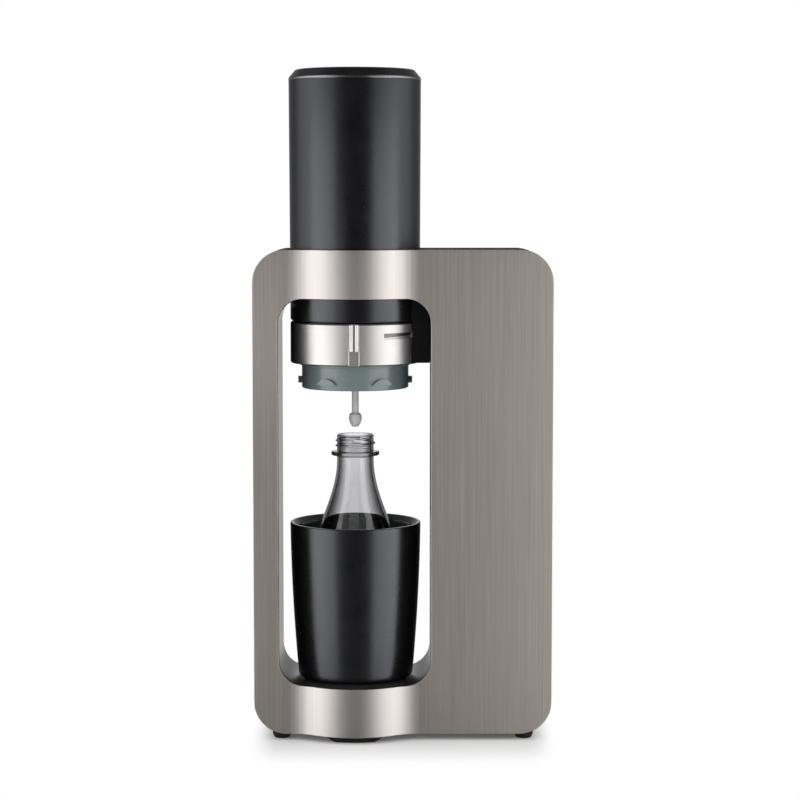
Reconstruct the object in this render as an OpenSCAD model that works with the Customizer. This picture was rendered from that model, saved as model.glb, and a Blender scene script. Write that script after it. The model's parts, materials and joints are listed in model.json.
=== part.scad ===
// Sparkling water maker with a sliding tower, tower raised.
// Millimetres, Z up, front towards -Y, origin on the floor under the middle of the body.

/* [Body] */
// width of the metal frame
body_w = 240; // [232:1:262]
// depth over the flat front and rear panels
body_d = 84; // [82:0.5:92]
// height of the panels above the feet
body_h = 390; // [386:1:410]
// rounding of the frame's four outer corners
corner_r = 26.5; // [20:0.5:30]
// sheet thickness of the panels
panel_t = 1.5; // [1.2:0.1:1.8]
// wall thickness of the black housing
wall_t = 2.5; // [2:0.1:2.8]
// height of the feet
foot_h = 5; // [3:0.5:8]

/* [Window] */
// width of the narrow post left of the window
leg_w = 20; // [17:0.5:24]
// width of the window
window_w = 122.5; // [121:0.5:126]
// height of the band over the window
top_band_h = 39; // [37:0.5:42]
// height of the band under the window
base_band_h = 39.5; // [37:0.5:41]
// rounding of the window's corners
window_r = 20; // [16:0.5:22]
// thickness of the window liner
liner_t = 1.2; // [0.8:0.1:1.6]
// thickness of the dark mat that the holder stands on
tray_t = 1.5; // [1:0.1:2.5]

/* [Tower] */
// radius of the tower at its lower end
tower_r = 52.5; // [51.5:0.1:53]
// how much wider the tower is at its upper end
tower_draft = 0.85; // [0.2:0.05:1]
// wall thickness of the tower at its lower end
tower_wall = 2.5; // [2:0.1:2.8]
// length of the tower shell
tower_h = 192.7; // [180:0.5:215]
// how far the tower comes down onto the holder
lift_travel = 130; // [124:0.5:132]
// height of the bright line under the cap
trim_h = 1.6; // [1:0.1:2.5]
// height of the bevelled cap
cap_h = 6.8; // [5.5:0.1:9]
// how far the cap's bevel runs inwards
cap_bevel = 5.7; // [4:0.1:6.5]
// radius of the push button in the cap
button_r = 41.6; // [36:0.2:41.6]
// travel of the push button
button_travel = 5; // [3:0.5:6]

/* [Lock ring] */
// height of the steel lock ring
ring_h = 33.5; // [32:0.5:34.5]
// turn of the lock ring between open and locked, degrees
lock_turn = 30; // [24:1:30]
// how far the bayonet ring stands below the lock ring
bayonet_h = 20.5; // [19:0.5:23]
// step from the lock ring in to the bayonet ring
bayonet_step = 9.1; // [8.6:0.1:9.6]
// how far a lug stands out of the bayonet ring
lug_out = 3; // [2.4:0.1:3.1]
// height of a lug
lug_h = 5; // [4:0.1:6]
// radius of a lug's arched upper edge
lug_arch_r = 10; // [8:0.5:11]
// width of the groove that carries the index ribs
index_w = 7.4; // [6:0.2:9]
// height of the index ribs
rib_h = 20.8; // [14:0.2:24]

/* [Lance] */
// radius of the gas lance
lance_r = 2.8; // [2.4:0.1:3.4]
// radius of the bulb at its tip
bulb_r = 5.4; // [4.5:0.1:7]
// length of the bulb
bulb_h = 11.5; // [9:0.5:14]
// free height between the bulb and the bottle, tower raised
lance_gap = 6.2; // [4:0.2:10]

/* [Bottle and holder] */
// height of the holder
cup_h = 126.4; // [122:0.2:128]
// radius of the holder's rim
cup_r = 53.4; // [53:0.1:54]
// radius of the holder's foot
cup_base_r = 46.6; // [46:0.1:48]
// radius of the bottle's body
bottle_r = 41; // [38:0.2:41]
// height of the bottle
bottle_h = 193.3; // [188:0.5:198]
// radius of the bottle's neck
neck_r = 15; // [14:0.1:16]
// glass thickness
glass_t = 3; // [2.4:0.1:3.4]

/* [Inside the column] */
// radius of the gas cylinder
gas_r = 30; // [27:0.5:30]
// radius of the guide rods
rod_r = 4; // [3.5:0.1:4.5]
// half the distance between the guide rods
rod_y = 24; // [23:0.5:24]
// height of the carriage on the rods
carriage_h = 30; // [26:1:30]
// radius of the gas hose
hose_r = 2.5; // [2:0.1:2.5]
// turns of each lift spring
lift_turns = 14; // [10:1:16]
// turns of the button spring
button_turns = 9; // [7:1:10]

/* [Clearances] */
// gap between the tower and the collar it slides in
tower_gap = 0.65; // [0.4:0.05:0.9]
// wall of the collar round the tower
collar_t = 2.5; // [2:0.1:2.8]
// gap between the lock ring and the tower over it
ring_gap = 1; // [0.8:0.1:1.4]
// gap between the lock ring and the holder, tower down
seat_gap = 0.5; // [0.3:0.1:0.8]
// running gap of a shaft in its bore
run_gap = 0.06; // [0.03:0.01:0.1]
// gap under a piece that stands loose on another
rest_gap = 0.1; // [0.1:0.05:0.3]
// gap round a piece that slips past another
slip_gap = 0.4; // [0.3:0.05:0.6]

/* [Hidden] */
$fn = 96;
far = 700;
half_w = body_w / 2;
half_d = body_d / 2;
body_z0 = foot_h;
body_z1 = foot_h + body_h;

// window
win_x0 = -half_w + leg_w;
win_x1 = win_x0 + window_w;
win_z0 = body_z0 + base_band_h;
win_z1 = body_z1 - top_band_h;
axis_x = (win_x0 + win_x1) / 2;
liner_gap = 0.8;
liner_y = half_d - panel_t - liner_gap;

// bulge round the tower
tower_top_r = tower_r + tower_draft;
tower_in_r = tower_r - tower_wall;
bore_r = tower_top_r + tower_gap;
bulge_r = bore_r + collar_t + panel_t;
blend_r = 40;

// holder and bottle
tray_z1 = win_z0 + tray_t;
cup_z0 = tray_z1 + rest_gap;
pad_out = 0.5;
pad_t = 1.5;
pad_r1 = cup_base_r - 7;
pad_r0 = pad_r1 - 9;
cup_floor = 4;
cup_rim_z = cup_z0 + cup_h;
cup_apex = 1.17 * cup_h;
rim_flat = 2.4;
bottle_gap = 1.3;
cup_in_r0 = bottle_r + bottle_gap;
bottle_z0 = cup_z0 + pad_out + cup_floor + rest_gap;
mouth_z = bottle_z0 + bottle_h;
shoulder_z0 = 0.37 * bottle_h;
shoulder_z1 = 0.89 * bottle_h;
neck_ring_out = 4.6;
neck_ring_h = 3.6;
thread_out = 1.4;

// head, tower raised
ring_z0 = cup_rim_z + seat_gap + lift_travel;
ring_z1 = ring_z0 + ring_h;
ring_r = tower_r;
ring_wall = 3;
tower_z0 = ring_z1 + ring_gap;
tower_z1 = tower_z0 + tower_h;
cap_z0 = tower_z1 + trim_h;
cap_z1 = cap_z0 + cap_h;
web_z0 = ring_z0 + 13.5;
web_z1 = web_z0 + 5;
bay_r = ring_r - bayonet_step;
bay_wall = 4;
bay_in_r = bay_r - bay_wall;
bay_z0 = ring_z0 - bayonet_h;
lug_z1 = ring_z0 - 11.2;
lug_z0 = lug_z1 - lug_h;
lug_count = 6;
lug_w = 2 * sqrt(lug_arch_r * lug_arch_r - (lug_arch_r - lug_h) * (lug_arch_r - lug_h));
sleeve_r = bay_in_r + 0.6;
sleeve_wall = 3.5;
core_in_r = sleeve_r - sleeve_wall;
core_r = sleeve_r + 3;
clip_t = 1.7;
clip_z0 = web_z0 - 0.3 - clip_t;
seal_t = 4;
seal_z0 = mouth_z + lift_travel + 0.3;
seal_z1 = seal_z0 + seal_t;
core_plate = 8;
core_z1 = seal_z1 + core_plate;
pin_z = ring_z0 + 24;
pin_r = 2.2;
pin_angle = 180;
stop_depth = 1.4;
stop_margin = asin((pin_r + slip_gap) / (ring_r - ring_wall));
index_depth = 0.9;
grip_z = ring_z0 + 0.7 * ring_h;
grip_half = 2.3;
grip_depth = 1.8;
grip_a0 = 27;
grip_a1 = 62;

// holder lips, which the lugs pass and then lock under
cup_in_r1 = bay_r + lug_out + 0.5;
lip_r = bay_r + 1;
lip_z0 = lug_z1 - lift_travel + 0.5;
lead_z = cup_rim_z - 3.3;
notch_gap = 1.5;
notch_half = asin((lug_w / 2 + notch_gap) / (bay_r + lug_out));

// gas parts in the tower
lance_z0 = mouth_z + lance_gap;
nut_h = 6;
valve_z0 = core_z1 + nut_h;
valve_h = 43;
valve_r = 13;
valve_z1 = valve_z0 + valve_h;
lance_z1 = valve_z0 + 5;
plunger_r = 4;
plunger_z0 = valve_z1 - 12;
button_z1 = cap_z1 - slip_gap;
button_t = 3;
button_skirt_z = cap_z1 - 22;
button_boss_r = 8;
button_boss_z = cap_z1 - 16;
guide_z0 = button_skirt_z + 3.5 + 0.3;
cap_in_r = button_r + slip_gap;
button_coil_r = 6.2;
button_wire_r = 0.6;

// column
col_x0 = win_x1 + liner_t;
col_in_x0 = col_x0 + wall_t;
col_in_x1 = half_w - wall_t;
col_in_z0 = body_z0 + wall_t;
col_in_z1 = body_z1 - wall_t;
in_y = half_d - panel_t;
gas_z0 = col_in_z0 + 9;
gas_wall = 3;
gas_neck_z = body_z1 - 57;
gas_neck_r = 13;
reg_z0 = body_z1 - 43;
reg_z1 = body_z1 - 7;
reg_half = 22;
arm_x1 = win_x1 - 1;
arm_z0 = ring_z0 + 1;
arm_h = 51;
arm_z1 = arm_z0 + arm_h;
arm_hug = ring_r + 0.7;
arm_edge = 13.8;
arm_in_x = arm_x1 - axis_x - arm_edge;
arm_y = max(26, sqrt(max(0, arm_hug * arm_hug - arm_in_x * arm_in_x)));
tongue_y = 12;
tongue_z1 = ring_z0 + 31;
tongue_z0 = tongue_z1 - 26;
rail_x = col_in_x0 + 9.8;
car_x0 = col_in_x0 + 0.8;
car_x1 = rail_x + 9;
car_y = rod_y + 7.5;
car_z1 = tongue_z1 + 2;
car_z0 = car_z1 - carriage_h;
bush_r = 6;
bush_h = 11;
foot_block_z1 = col_in_z0 + 1.35 * carriage_h;
head_block_z0 = body_z1 - 19;
lift_coil_r = 5.6;
lift_wire_r = 0.7;
hose_x = car_x1 + 2 + hose_r;
gas_x = hose_x + hose_r + 2 + gas_r;
hose_y = 26;
hose_top_z = reg_z0 - 2;
hose_end_z = car_z0 - 4;
hose_bend_z = foot_block_z1 + 126;
arm_slot_z0 = tongue_z0 - lift_travel - 1.5;
arm_slot_z1 = tongue_z1 + 1.5;
arm_slot_y = tongue_y + 1;
gas_duct_r = 2;
gas_duct_z = tower_z0 + 8.5;

// rear door
door_x0 = col_x0 + 10;
door_x1 = half_w - 8;
door_z0 = body_z0 + 27;
door_z1 = body_z1 - 27;
door_r = 10;
peg_r = 2.5;
peg_in = 7;
peg_x0 = door_x0 + 4;
peg_x1 = door_x1 - 4;
peg_z0 = door_z0 + 10;
peg_z1 = door_z1 - 10;

// feet
foot_r = 7.5;
foot_x = half_w - 22;
foot_y = half_d - 12;
pad_arc = 25;
screw_r = 1.3;
cover_t = 2;
boss_r = 4;
base_x0 = -half_w + corner_r + 2.5;
base_x1 = col_x0 - wall_t;
base_top = win_z0 - liner_t;
base_floor = 3;
boss_x0 = base_x0 + 7;
boss_x1 = base_x1 - 7;
boss_y = half_d - panel_t - wall_t - 8;

echo(lift_spring_gap = (car_z0 - foot_block_z1) / lift_turns - 2 * lift_wire_r);
echo(button_spring_gap = (button_boss_z - valve_z1) / button_turns - 2 * button_wire_r);

metal = [0.55, 0.52, 0.49];
black = [0.06, 0.06, 0.065];
satin_black = [0.09, 0.09, 0.095];
steel = [0.75, 0.75, 0.76];
grey_green = [0.42, 0.45, 0.42];
light_grey = [0.7, 0.7, 0.69];
dark_grey = [0.3, 0.3, 0.3];
rubber = [0.05, 0.05, 0.05];
brass = [0.75, 0.6, 0.3];

// Shapes shared by several pieces

module round_rect(x0, y0, x1, y1, r) {
    translate([x0 + r, y0])
        square([x1 - x0 - 2 * r, y1 - y0]);
    translate([x0, y0 + r])
        square([x1 - x0, y1 - y0 - 2 * r]);
    for (x = [x0 + r, x1 - r])
        for (y = [y0 + r, y1 - r])
            translate([x, y])
                circle(r = r);
}

// frame seen from the front
module front_outline(inset) {
    round_rect(-half_w + inset, body_z0 + inset, half_w - inset, body_z1 - inset, corner_r - inset);
}

// window seen from the front
module window_outline(grow) {
    round_rect(win_x0 - grow, win_z0 - grow, win_x1 + grow, win_z1 + grow, window_r + grow);
}

// room for the window, wider where its liner lies
module window_way() {
    through(-far / 2, far / 2)
        window_outline(0);
    through(-liner_y, liner_y)
        window_outline(liner_t);
}

// fillet between the bulge and a flat face
module blend_patch(inset) {
    r = bulge_r - inset;
    f = blend_r + inset;
    h = half_d - inset;
    cy = h + f;
    cx = sqrt((r + f) * (r + f) - cy * cy);
    k = r / (r + f);
    difference() {
        polygon([[cx * k, cy * k], [cx * k, h / 2], [cx, h / 2], [cx, h]]);
        translate([cx, cy])
            circle(r = f);
    }
}

// frame seen from above, with the bulge on both faces
module plan_outline(inset, wider) {
    translate([-half_w - wider, -half_d + inset])
        square([body_w + 2 * wider, body_d - 2 * inset]);
    translate([axis_x, 0]) {
        circle(r = bulge_r - inset);
        for (sx = [0, 1])
            for (sy = [0, 1])
                mirror([sx, 0])
                    mirror([0, sy])
                        blend_patch(inset);
    }
}

// a front view carried along Y
module through(y0, y1) {
    translate([0, y1, 0])
        rotate([90, 0, 0])
            linear_extrude(y1 - y0)
                children();
}

// a plan view carried up from z0 to z1
module upright(z0, z1) {
    translate([0, 0, z0])
        linear_extrude(z1 - z0)
            children();
}

module rod_along_x(x0, x1, y, z, r) {
    translate([x0, y, z])
        rotate([0, 90, 0])
            cylinder(h = x1 - x0, r = r);
}

module rod_along_y(x, y0, y1, z, r) {
    translate([x, y1, z])
        rotate([90, 0, 0])
            cylinder(h = y1 - y0, r = r);
}

module block(x0, x1, y0, y1, z0, z1) {
    translate([x0, y0, z0])
        cube([x1 - x0, y1 - y0, z1 - z0]);
}

// a profile in radius and height, turned about the tower's axis
module turned() {
    translate([axis_x, 0, 0])
        rotate_extrude()
            children();
}

module tower_bore(z0, z1) {
    translate([axis_x, 0, z0])
        cylinder(h = z1 - z0, r = bore_r);
}

module sheet_front() {
    intersection() {
        through(-far / 2, 0)
            difference() {
                front_outline(0);
                window_outline(0);
            }
        upright(0, far)
            difference() {
                plan_outline(0, 0);
                plan_outline(panel_t, 1);
            }
    }
}

// a wire coil standing on z0, six-sided wire, eight rings a turn
module coil(r, wire_r, turns, z0, z1) {
    steps = 8 * turns;
    low = z0 + wire_r;
    rise = (z1 - z0 - 2 * wire_r) / steps;
    points = [
        for (i = [0 : steps])
            for (j = [0 : 5])
                [
                    (r + wire_r * cos(60 * j)) * cos(45 * i),
                    (r + wire_r * cos(60 * j)) * sin(45 * i),
                    low + rise * i + wire_r * sin(60 * j)
                ]
    ];
    sides = [
        for (i = [0 : steps - 1])
            for (j = [0 : 5])
                let (a = 6 * i + j, b = 6 * i + (j + 1) % 6)
                    for (t = [[a, b, b + 6], [a, b + 6, a + 6]])
                        t
    ];
    ends = [
        [5, 4, 3, 2, 1, 0],
        [for (j = [0 : 5]) 6 * steps + j]
    ];
    polyhedron(points = points, faces = concat(sides, ends), convexity = 10);
}

// Frame

module front_panel() {
    color(metal)
        sheet_front();
}

module rear_panel() {
    color(metal)
        difference() {
            mirror([0, 1, 0])
                sheet_front();
            through(0, far / 2)
                round_rect(door_x0, door_z0, door_x1, door_z1, door_r);
        }
}

module column_shell() {
    color(black)
        difference() {
            through(-in_y, in_y)
                difference() {
                    intersection() {
                        front_outline(0);
                        translate([col_x0, 0])
                            square([far, far]);
                    }
                    intersection() {
                        front_outline(wall_t);
                        translate([col_in_x0, 0])
                            square([far, far]);
                    }
                }
            arm_way();
        }
}

module post() {
    x0 = -half_w;
    x1 = win_x0 - liner_t;
    z0 = win_z0 + window_r;
    z1 = win_z1 - window_r;
    bay = (z1 - z0) / 3;
    color(black)
        difference() {
            block(x0, x1, -in_y, in_y, z0, z1);
            for (i = [0 : 2])
                block(x0 + wall_t, x1 - wall_t, -in_y - 1, in_y + 1,
                    z0 + i * bay + wall_t, z0 + (i + 1) * bay - wall_t);
        }
}

module bridge() {
    color(black)
        difference() {
            intersection() {
                through(-far / 2, far / 2)
                    intersection() {
                        front_outline(0);
                        translate([-far, win_z1 - window_r])
                            square([far + col_x0, far]);
                    }
                upright(0, far)
                    plan_outline(panel_t, 1);
            }
            window_way();
            tower_bore(0, far);
            arm_way();
        }
}

// outline of the hollow under the base, seen from above
module base_hollow(gap) {
    intersection() {
        plan_outline(panel_t + wall_t + gap, 0);
        translate([base_x0 + gap, -far / 2])
            square([base_x1 - base_x0 - 2 * gap, far]);
    }
}

module base_housing() {
    color(black)
        difference() {
            union() {
                difference() {
                    intersection() {
                        through(-far / 2, far / 2)
                            intersection() {
                                front_outline(0);
                                translate([-far, 0])
                                    square([far + col_x0, win_z0 + window_r]);
                            }
                        upright(0, far)
                            plan_outline(panel_t, 1);
                    }
                    window_way();
                    upright(0, base_top - base_floor)
                        base_hollow(0);
                }
                for (x = [boss_x0, boss_x1])
                    for (y = [-boss_y, boss_y])
                        translate([x, y, body_z0 + cover_t])
                            cylinder(h = base_top - base_floor - body_z0 - cover_t + 1, r = boss_r);
            }
            for (x = [boss_x0, boss_x1])
                for (y = [-boss_y, boss_y])
                    translate([x, y, body_z0])
                        cylinder(h = 14, r = screw_r);
        }
}

module base_cover() {
    color(black)
        difference() {
            upright(body_z0, body_z0 + cover_t)
                base_hollow(0.2);
            for (x = [boss_x0, boss_x1])
                for (y = [-boss_y, boss_y])
                    translate([x, y, body_z0 - 1])
                        cylinder(h = cover_t + 2, r = screw_r + 0.3);
        }
}

module window_liner() {
    color(dark_grey)
        difference() {
            through(-liner_y, liner_y)
                difference() {
                    window_outline(liner_t);
                    window_outline(0);
                }
            tower_bore(win_z1 - window_r, far);
            arm_way();
        }
}

module tray() {
    color(rubber)
        intersection() {
            translate([axis_x, 0, win_z0])
                cylinder(h = tray_t, r = bulge_r - panel_t - 1);
            block(win_x0 + window_r, win_x1 - window_r, -far / 2, far / 2, 0, far);
        }
}

module corner_feet() {
    color(rubber)
        difference() {
            for (x = [-foot_x, foot_x])
                for (y = [-foot_y, foot_y])
                    translate([x, y, 0])
                        cylinder(h = foot_h + 6, r = foot_r);
            through(-far / 2, far / 2)
                front_outline(0);
        }
}

module bulge_feet() {
    color(rubber)
        translate([axis_x, 0, 0])
            for (a = [-90, 90])
                rotate([0, 0, a - pad_arc])
                    rotate_extrude(angle = 2 * pad_arc)
                        translate([bulge_r - panel_t - wall_t - 8, 0])
                            square([7, foot_h]);
}

module base_screws() {
    color(steel)
        for (x = [boss_x0, boss_x1])
            for (y = [-boss_y, boss_y])
                translate([x, y, 0]) {
                    translate([0, 0, body_z0 - 1.5])
                        cylinder(h = 1.5, r = 3);
                    translate([0, 0, body_z0 - 0.5])
                        cylinder(h = 12, r = screw_r - run_gap);
                }
}

// Column, inside

module guide_rods() {
    color(steel)
        for (y = [-rod_y, rod_y])
            translate([rail_x, y, col_in_z0 + 5])
                cylinder(h = col_in_z1 - col_in_z0 - 8, r = rod_r);
}

module rod_blocks() {
    color(black)
        difference() {
            union() {
                block(col_in_x0, car_x1, -car_y + 1, car_y - 1, col_in_z0, foot_block_z1);
                block(col_in_x0, car_x1, -car_y + 1, car_y - 1, head_block_z0, col_in_z1);
            }
            for (y = [-rod_y, rod_y])
                translate([rail_x, y, col_in_z0 + 5])
                    cylinder(h = col_in_z1 - col_in_z0 - 8, r = rod_r + run_gap);
        }
}

module lift_springs() {
    color(steel)
        for (y = [-rod_y, rod_y])
            translate([rail_x, y, 0])
                coil(lift_coil_r, lift_wire_r, lift_turns, foot_block_z1, car_z0);
}

// half outline of the gas cylinder, inset by its wall for the inside
module gas_outline(inset) {
    r = gas_r - inset;
    foot = 8 - inset;
    shoulder = gas_r - gas_neck_r - inset;
    z0 = gas_z0 + inset;
    z1 = gas_neck_z - inset;
    translate([0, z0])
        square([r - foot, z1 - z0]);
    translate([0, z0 + foot])
        square([r, z1 - z0 - foot - shoulder]);
    intersection() {
        translate([r - foot, z0 + foot])
            circle(r = foot);
        translate([r - foot, z0])
            square([foot, foot]);
    }
    intersection() {
        translate([gas_neck_r, z1 - shoulder])
            circle(r = shoulder);
        translate([gas_neck_r, z1 - shoulder])
            square([shoulder, shoulder]);
    }
}

module gas_cylinder() {
    color([0.62, 0.64, 0.66])
        translate([gas_x, 0, 0])
            rotate_extrude()
                difference() {
                    gas_outline(0);
                    gas_outline(gas_wall);
                    translate([0, gas_neck_z - 2 * gas_wall])
                        square([8, 4 * gas_wall]);
                }
}

module cylinder_valve() {
    color(brass)
        translate([gas_x, 0, gas_neck_z]) {
            cylinder(h = 6, r = 12);
            translate([0, 0, 5])
                cylinder(h = reg_z0 - gas_neck_z - 5, r = 10.5);
            translate([0, 0, 6])
                cylinder(h = reg_z0 - gas_neck_z + 4, r = 9);
        }
}

module cylinder_cradle() {
    color(black)
        difference() {
            translate([gas_x, 0, col_in_z0])
                cylinder(h = 0.8 * gas_r, r = gas_r + 3);
            translate([gas_x, 0, gas_z0 - rest_gap])
                cylinder(h = gas_r, r = gas_r + slip_gap);
            block(gas_x + 0.3 * gas_r, gas_x + far, -far / 2, far / 2, 0, far);
        }
}

module cylinder_clip() {
    z0 = gas_z0 + 0.68 * (gas_neck_z - gas_z0);
    color(black)
        difference() {
            union() {
                translate([gas_x, 0, z0])
                    cylinder(h = 12, r = gas_r + 3);
                block(gas_x + gas_r - 2, col_in_x1, -8, 8, z0, z0 + 12);
            }
            translate([gas_x, 0, z0 - 1])
                cylinder(h = 14, r = gas_r + slip_gap);
            block(gas_x - far, gas_x + far, gas_r / 2, far, z0 - 1, z0 + 13);
        }
}

module regulator() {
    color(brass)
        difference() {
            union() {
                block(gas_x - reg_half, gas_x + reg_half, -reg_half, reg_half, reg_z0, reg_z1);
                block(hose_x - 3, gas_x, -hose_y - 4, -hose_y + 4, reg_z0 + 4, reg_z0 + 14);
                block(gas_x - reg_half, gas_x, -hose_y - 4, 0, reg_z0 + 4, reg_z0 + 14);
                translate([hose_x, -hose_y, hose_top_z])
                    cylinder(h = reg_z0 + 5 - hose_top_z, r = hose_r);
            }
            translate([gas_x, 0, reg_z0 - 1])
                cylinder(h = 14, r = 9 + run_gap);
        }
}

module regulator_bracket() {
    color(steel)
        block(gas_x - reg_half + 2, half_w - corner_r, -reg_half, reg_half, reg_z1, col_in_z1);
}

module gas_hose() {
    color(rubber)
        translate([hose_x, 0, 0]) {
            translate([0, -hose_y, hose_bend_z])
                cylinder(h = hose_top_z - hose_bend_z, r = hose_r);
            translate([0, hose_y, hose_bend_z])
                cylinder(h = hose_end_z - hose_bend_z, r = hose_r);
            translate([0, 0, hose_bend_z])
                rotate([0, 90, 0])
                    rotate([0, 0, -90])
                        rotate_extrude(angle = 180)
                            translate([hose_y, 0])
                                circle(r = hose_r, $fn = 32);
        }
}

module door_sockets() {
    color(black)
        difference() {
            union() {
                for (z = [peg_z0, peg_z1]) {
                    block(col_in_x0, peg_x0 + 5, in_y - 8, in_y, z - 6, z + 6);
                    block(peg_x1 - 5, col_in_x1, in_y - 8, in_y, z - 6, z + 6);
                }
            }
            for (x = [peg_x0, peg_x1])
                for (z = [peg_z0, peg_z1])
                    rod_along_y(x, in_y - 9, in_y + 1, z, peg_r + run_gap);
        }
}

// Tower

module tower_shell() {
    color(satin_black)
        difference() {
            turned()
                polygon([
                    [tower_in_r, tower_z0],
                    [tower_r - 1, tower_z0],
                    [tower_r, tower_z0 + 1],
                    [tower_top_r, tower_z1],
                    [tower_in_r, tower_z1]
                ]);
            rod_along_x(axis_x, axis_x + tower_top_r + 1, 0, gas_duct_z, gas_duct_r);
        }
}

module trim_ring() {
    color(steel)
        turned()
            polygon([
                [tower_in_r, tower_z1],
                [tower_top_r, tower_z1],
                [tower_top_r + 0.15, tower_z1 + 0.3],
                [tower_top_r + 0.15, cap_z0 - 0.3],
                [tower_top_r, cap_z0],
                [tower_in_r, cap_z0]
            ]);
}

module cap_ring() {
    plug_r = tower_in_r - 0.2;
    color(black)
        turned()
            polygon([
                [cap_in_r, guide_z0],
                [cap_in_r + 2.5, guide_z0],
                [cap_in_r + 2.5, tower_z1 - 2],
                [plug_r, tower_z1 - 2],
                [plug_r, cap_z0],
                [tower_top_r, cap_z0],
                [tower_top_r, cap_z0 + 0.4],
                [tower_top_r - cap_bevel + 0.6, cap_z1 - 0.4],
                [tower_top_r - cap_bevel - 0.4, cap_z1],
                [cap_in_r + 0.5, cap_z1],
                [cap_in_r, cap_z1 - 0.5]
            ]);
}

module head_core() {
    color(black)
        difference() {
            turned()
                polygon([
                    [core_in_r, clip_z0 - 1.5],
                    [sleeve_r, clip_z0 - 1.5],
                    [sleeve_r, clip_z0],
                    [sleeve_r - 1.4, clip_z0],
                    [sleeve_r - 1.4, clip_z0 + clip_t],
                    [sleeve_r, clip_z0 + clip_t],
                    [sleeve_r, web_z1 + 0.3],
                    [core_r, web_z1 + 0.3],
                    [core_r, tower_z0],
                    [tower_in_r - 0.1, tower_z0],
                    [tower_in_r - 0.1, tower_z0 + 6],
                    [sleeve_r, tower_z0 + 6],
                    [sleeve_r, core_z1],
                    [lance_r + 0.3, core_z1],
                    [lance_r + 0.3, seal_z1],
                    [core_in_r, seal_z1]
                ]);
            translate([axis_x, 0, 0])
                rotate([0, 0, pin_angle - 90])
                    rod_along_x(core_r - 4, core_r + 2, 0, pin_z, pin_r + run_gap);
        }
}

module bottle_seal() {
    color(rubber)
        turned()
            translate([lance_r + 0.3, seal_z0])
                square([neck_r + 4 - lance_r, seal_t]);
}

module lance() {
    tip = 0.45 * bulb_r;
    color(light_grey)
        turned()
            polygon([
                [0, lance_z0],
                [tip, lance_z0],
                [0.8 * bulb_r, lance_z0 + 0.25 * bulb_h],
                [bulb_r, lance_z0 + 0.55 * bulb_h],
                [0.92 * bulb_r, lance_z0 + 0.85 * bulb_h],
                [0.7 * bulb_r, lance_z0 + 0.97 * bulb_h],
                [lance_r, lance_z0 + bulb_h],
                [lance_r, lance_z1],
                [0, lance_z1]
            ]);
}

module lance_nut() {
    color(brass)
        translate([axis_x, 0, core_z1])
            difference() {
                cylinder(h = nut_h, r = 8, $fn = 6);
                translate([0, 0, -1])
                    cylinder(h = nut_h + 2, r = lance_r + run_gap);
            }
}

module dosing_valve() {
    color(brass)
        translate([axis_x, 0, 0])
            difference() {
                union() {
                    translate([0, 0, valve_z0])
                        cylinder(h = valve_h, r = valve_r);
                    translate([0, 0, valve_z0])
                        cylinder(h = 5, r = 22);
                    for (a = [0, 120, 240])
                        rotate([0, 0, a])
                            translate([18, 0, core_z1])
                                cylinder(h = nut_h + 2, r = 3);
                }
                translate([0, 0, valve_z0 - 1])
                    cylinder(h = lance_z1 - valve_z0 + 1.2, r = lance_r + run_gap);
                translate([0, 0, plunger_z0 - button_travel - 3])
                    cylinder(h = valve_h, r = plunger_r + run_gap);
            }
}

module relief_valve() {
    color(steel)
        translate([axis_x - 28, 0, core_z1]) {
            cylinder(h = 12, r = 5);
            translate([0, 0, 11])
                cylinder(h = 9, r = 3.5);
        }
}

module gas_tube() {
    x0 = valve_r + 0.1;
    x1 = (sleeve_r + tower_in_r) / 2;
    z1 = valve_z0 + 18;
    color(rubber)
        translate([axis_x, 0, 0]) {
            rod_along_x(x0, x1, 0, z1, gas_duct_r);
            translate([x1, 0, z1])
                sphere(r = gas_duct_r, $fn = 32);
            translate([x1, 0, gas_duct_z])
                cylinder(h = z1 - gas_duct_z, r = gas_duct_r);
            translate([x1, 0, gas_duct_z])
                sphere(r = gas_duct_r, $fn = 32);
            rod_along_x(x1, tower_in_r - 0.1, 0, gas_duct_z, gas_duct_r);
        }
}

// arm seen from the front, its upper corner running along the window's corner
module arm_outline(grow) {
    r = window_r - 1 + grow;
    x0 = axis_x + tower_r / 2;
    w = arm_x1 + grow - x0;
    h = arm_h + 2 * grow;
    translate([x0, arm_z0 - grow]) {
        square([w - r, h]);
        square([w, h - r]);
        translate([w - r, h - r])
            circle(r = r);
    }
}

// room for the arm where it goes up past the window, and its way into the column
module arm_way() {
    through(-arm_y - 1, arm_y + 1)
        arm_outline(0.9);
    block(win_x1 - 1, col_in_x0 + 1, -arm_slot_y, arm_slot_y, arm_slot_z0, arm_slot_z1);
}

module arm() {
    duct_x = arm_x1 - 4;
    duct_z = tongue_z1 - 5;
    color(black)
        difference() {
            union() {
                through(-arm_y, arm_y)
                    arm_outline(0);
                block(arm_x1 - 5, car_x0, -tongue_y, tongue_y, tongue_z0, tongue_z1);
            }
            turned()
                polygon([
                    [0, arm_z0 - 5],
                    [arm_hug, arm_z0 - 5],
                    [arm_hug, tower_z0],
                    [tower_r, tower_z0],
                    [tower_top_r, tower_z1],
                    [0, tower_z1]
                ]);
            rod_along_x(axis_x, duct_x, 0, gas_duct_z, gas_duct_r);
            translate([duct_x, 0, duct_z])
                cylinder(h = gas_duct_z - duct_z, r = gas_duct_r);
            rod_along_x(duct_x, car_x0 + 1, 0, duct_z, gas_duct_r);
            for (y = [-8, 8])
                rod_along_x(arm_x1 - 3, car_x0 + 1, y, tongue_z0 + 10, screw_r + 0.4);
        }
}

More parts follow.
